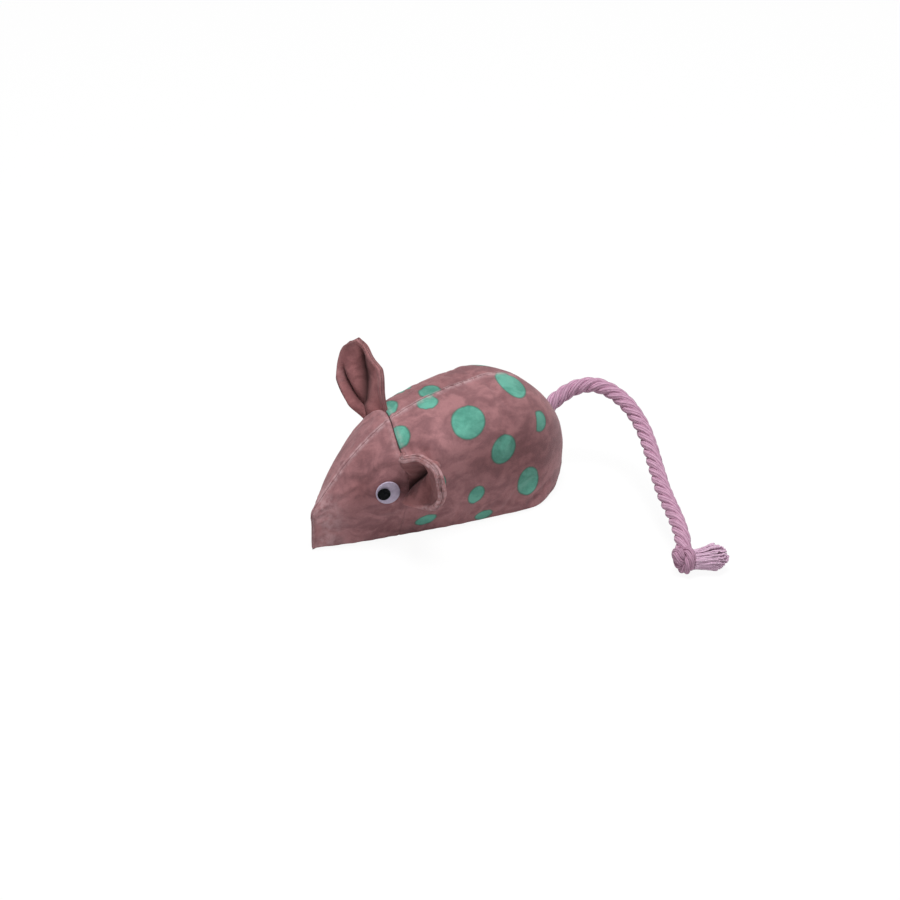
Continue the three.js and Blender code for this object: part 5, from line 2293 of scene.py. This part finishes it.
@dataclass
class Filling:
    """Two wads of loose fibre round a pocket of dried leaves."""

    finishes: Finishes
    form: BodyForm
    inset: float = 2.9 * MM
    split: float = -6 * MM
    split_gap: float = 0.2 * MM
    pocket: tuple = (7.5 * MM, 9 * MM, 8 * MM)
    pocket_height: float = 18 * MM
    pocket_gap: float = 0.4 * MM
    front_end: float = 0.1
    rear_end: float = 0.93
    lowest: float = 1.7 * MM
    stations: int = 46
    lump_size: float = 4 * MM
    lump_height: float = 0.35 * MM
    weld_distance: float = 0.002 * MM
    thinnest: float = 0.001 * MM
    flake: float = 1.7 * MM
    flake_density: float = 5.5e5
    bore_outline: tuple = (
        (-20, 0), (-19.6, 2.5), (-17.5, 4.6), (-14, 5.4), (-11, 4.6), (-9, 3.1), (4, 3.1), (4, 0),
    )

    def wad(self, front: bool) -> Piece:
        """One wad: a lumpy form inside the panels, dented where the leaves lie.

        Args:
            front: whether it is the wad ahead of the leaves.

        Returns:
            The piece.
        """
        side = -1 if front else 1
        trial, half = np.linspace(0, 1, 300), np.linspace(0, 1, 33)
        back = self.form.point(trial, 1.0, 1)[:, 0]
        cut = float(np.interp(self.split + side * self.split_gap, back, trial))
        length = (self.front_end if front else self.rear_end) - cut
        rings = []
        for k in range(self.stations + 1):
            u = np.full_like(half, cut + length * (k / self.stations))
            right, left = (
                self.form.point(u, half, sign) - self.form.directions(u, half, sign)[2] * self.inset
                for sign in (1, -1)
            )
            rings.append(np.concatenate((right, left[-2:0:-1])))
        grid = np.array(rings)
        outward = unit(grid - grid.mean(axis=1, keepdims=True))
        grid = grid + (lumps(grid, self.lump_size, 41.0) * self.lump_height)[..., None] * outward
        grid[..., 2] = np.clip(grid[..., 2], self.lowest, None)
        caps = []
        for ring, shares in ((grid[0], np.linspace(0, 1, 12)[:-1]), (grid[-1], np.linspace(1, 0, 6)[1:])):
            centre = ring.mean(axis=0)
            caps.append(np.array([centre + (ring - centre) * share for share in shares]))
        grid = np.concatenate((caps[0], grid, caps[1]))
        y = grid[..., 1] / (self.pocket[1] + self.pocket_gap)
        z = (grid[..., 2] - self.pocket_height) / (self.pocket[2] + self.pocket_gap)
        dent = np.sqrt(np.clip(1 - y**2 - z**2, 0, 1)) * (self.pocket[0] + self.pocket_gap)
        limit = self.split + side * (self.split_gap + dent)
        grid[..., 0] = side * np.maximum(side * grid[..., 0], side * limit)
        rows, columns = grid.shape[:2]
        index = np.arange(rows * columns).reshape(rows, columns)
        after = np.roll(index, -1, axis=1)
        faces = np.stack((index[:-1], after[:-1], after[1:], index[1:]), axis=-1).reshape(-1, 4)
        name = "front" if front else "rear"
        piece = make_piece(f"wad_{name}", grid.reshape(-1, 3), faces.tolist(), self.finishes.wad)
        self.weld(piece)
        if not front:
            self.bore(piece)
        return settle(piece, "mouse", f"filling_{name}")

    def weld(self, piece: Piece) -> None:
        """Joins corners of a mesh that lie in one place.

        Args:
            piece: the wad.
        """
        work = bmesh.new()
        work.from_mesh(piece.data)
        bmesh.ops.remove_doubles(work, verts=work.verts, dist=self.weld_distance)
        bmesh.ops.dissolve_degenerate(work, edges=work.edges, dist=self.thinnest)
        bmesh.ops.recalc_face_normals(work, faces=work.faces)
        work.to_mesh(piece.data)
        work.free()

    def bore(self, piece: Piece) -> None:
        """Opens the way in the rear wad that the rope's inner end lies in.

        Args:
            piece: the rear wad.
        """
        root = Vector(joint_of("tail_swing")["pos_m"])
        turn = Matrix.Translation(root) @ Matrix.Rotation(math.pi / 2, 4, "Y")
        profile = np.array(self.bore_outline)[:, ::-1] * MM
        tool = turned_piece("way_for_rope", profile, turn, self.finishes.wad, 32)
        cut = piece.modifiers.new("Way", "BOOLEAN")
        cut.operation, cut.object, cut.solver = "DIFFERENCE", tool, "EXACT"
        mesh = worked_out(piece)
        piece.modifiers.clear()
        piece.data = mesh
        bpy.data.objects.remove(tool)

    def build(self) -> None:
        """Makes the wads and the heap of leaf flakes."""
        self.wad(True)
        self.wad(False)
        inputs = {"Flake": self.flake, "Density": self.flake_density, "Seed": 3}
        inputs |= {"Material": self.finishes.leaf}
        leaves = run_tree("leaf_flakes", np.zeros((2, 3)), leaf_tree(), inputs)
        leaves.data.transform(Matrix.Translation((self.split, 0, self.pocket_height)))
        settle(leaves, "mouse", "catnip_leaves")


# --------------------------------------------------------------------- studio


@dataclass
class Studio:
    """The camera, the lamps, the pale floor and the white surround."""

    azimuth: float = math.radians(-35.84)
    elevation: float = math.radians(29.32)
    distance: float = 0.8252
    target: tuple = (8.77 * MM, 3.99 * MM, 14.9 * MM)
    lens: float = 106.2
    sensor: float = 36.0
    floor_size: float = 6.0
    floor_drop: float = 0.0002
    floor_grey: float = 0.78
    floor_glow: float = 1.04
    floor_white: float = 0.9
    ambient: float = 0.22
    lamp_aim: tuple = (0, -0.015, 0.015)

    def camera(self) -> None:
        """A camera where the photographer's stood."""
        data = bpy.data.cameras.new("Camera")
        data.lens, data.sensor_width, data.clip_start = self.lens, self.sensor, 0.01
        right = Vector((math.cos(self.azimuth), math.sin(self.azimuth), 0))
        level = Vector((right.y, -right.x, 0))
        back = level * math.cos(self.elevation) + Vector((0, 0, 1)) * math.sin(self.elevation)
        axes = Matrix((right, back.cross(right), back)).transposed().to_4x4()
        camera = in_scene("Camera", data)
        camera.matrix_world = Matrix.Translation(Vector(self.target) + back * self.distance) @ axes
        bpy.context.scene.camera = camera

    def lamp(self, name: str, place: tuple, size: float, power: float) -> None:
        """A square soft lamp that points at the mouse.

        Args:
            name: its name.
            place: where it hangs.
            size: its width.
            power: its watts.
        """
        data = bpy.data.lights.new(name, "AREA")
        data.shape, data.size, data.energy = "SQUARE", size, power
        lamp = in_scene(name, data)
        lamp.location = place
        way = Vector(self.lamp_aim) - Vector(place)
        lamp.rotation_euler = way.to_track_quat("-Z", "Y").to_euler()

    def white_for(self, tree: Tree) -> Socket:
        """One where a ray comes straight from the camera, off gloss or through glass.

        Args:
            tree: the tree that it is added to.

        Returns:
            The share.
        """
        path = tree.add("ShaderNodeLightPath").outputs
        seen = tree.math("MAXIMUM", path["Is Camera Ray"], path["Is Glossy Ray"])
        return tree.math("MAXIMUM", seen, path["Is Transmission Ray"])

    def fresh_tree(self, owner: Material | bpy.types.World) -> Tree:
        """The emptied node tree of a material or a world.

        Args:
            owner: the material or world.

        Returns:
            The tree.
        """
        owner.use_nodes = True
        owner.node_tree.nodes.clear()
        return Tree(owner.node_tree)

    def floor(self) -> None:
        """A pale floor that shows white but keeps the mouse's shadow."""
        half = self.floor_size / 2
        corners = [(half * x, half * y, -self.floor_drop) for x, y in ((-1, -1), (1, -1), (1, 1), (-1, 1))]
        mesh = bpy.data.meshes.new("floor")
        mesh.from_pydata(corners, [], [(0, 1, 2, 3)])
        material = bpy.data.materials.new("Pale floor")
        tree = self.fresh_tree(material)
        matte = tree.get("ShaderNodeBsdfDiffuse", {"Color": (*[self.floor_grey] * 3, 1)})
        glow = tree.get("ShaderNodeEmission", {"Color": (1, 1, 1, 1), "Strength": self.floor_glow})
        share = tree.times(self.white_for(tree), self.floor_white)
        mix = tree.get("ShaderNodeMixShader", {0: share, 1: matte, 2: glow})
        tree.add("ShaderNodeOutputMaterial", {0: mix})
        mesh.materials.append(material)
        in_scene("floor", mesh)

    def surround(self) -> None:
        """A white world that lights at its own lower level."""
        world = bpy.data.worlds.new("World")
        bpy.context.scene.world = world
        tree = self.fresh_tree(world)
        strength = tree.math("MULTIPLY_ADD", self.white_for(tree), 1.0 - self.ambient, self.ambient)
        shine = tree.get("ShaderNodeBackground", {"Color": (1, 1, 1, 1), "Strength": strength})
        tree.add("ShaderNodeOutputWorld", {0: shine})

    def build(self) -> None:
        """Sets up what isn't part of the mouse."""
        self.camera()
        self.lamp("Key lamp", (-0.04, -0.09, 0.93), 0.4, 7.6)
        self.lamp("Front lamp", (-0.5, -0.75, 0.5), 0.6, 0.35)
        self.floor()
        self.surround()
        bpy.context.scene.view_settings.view_transform = "Standard"


def main() -> None:
    """Builds the scene, from the camera and the rope to the filling."""
    logging.basicConfig(level=logging.INFO, format="%(message)s")
    Studio().build()
    finishes = Finishes()
    form = BodyForm()
    tail = Tail(finishes)
    tail.build()
    near = Ear(
        finishes,
        form,
        Side.LEFT,
        cup=math.radians(60),
        curl=math.radians(32),
        twist=math.radians(-1),
        lean=math.radians(26),
        creases=(Crease(4.4 * MM, 0.27, -0.47, 1.18, -0.1, 0.62, 2.7 * MM),),
        root_up=6.9 * MM,
        root_down=12.3 * MM,
        root_share=0.13,
        length=22.8 * MM,
        half_width=9.2 * MM,
        root_half_width=7 * MM,
        tip_half_width=1.8 * MM,
        widest=0.53,
        tip_power=1.8,
        tip_power_up=1.22,
        sway=1.6 * MM,
        droop=1.25 * MM,
        lift=0.8 * MM,
        # painted shade over the near ear's hollow face
        shade=0.28,
    )
    far = Ear(
        finishes,
        form,
        Side.RIGHT,
        cup=math.radians(30),
        curl=math.radians(19.5),
        twist=math.radians(-12.4),
        lean=math.radians(36.8),
        creases=(
            Crease(3.1 * MM, 0.16, -0.47, -0.82, -0.1, 0.8, 1.0 * MM),
            Crease(2.3 * MM, 0.3, -0.32, 0.66, 0.05, 0.95),
        ),
        root_up=7.2 * MM,
        root_down=4.7 * MM,
        root_share=0.21,
        length=22.9 * MM,
        half_width=8.8 * MM,
        root_half_width=6.5 * MM,
        tip_half_width=1.9 * MM,
        widest=0.49,
        tip_power=2.6,
        tip_power_up=1.03,
        sway=2.6 * MM,
        droop=-2 * MM,
        lift=-0.3 * MM,
        rim_wear=0.2,
    )
    StuffedBody(finishes, form).build([near, far], tail.way_out())
    for ear in (near, far):
        ear.build()
    closing_stitches(form, finishes)
    for side in Side:
        Eye(finishes, side).build()
    Filling(finishes, form).build()


if __name__ == "__main__":
    main()
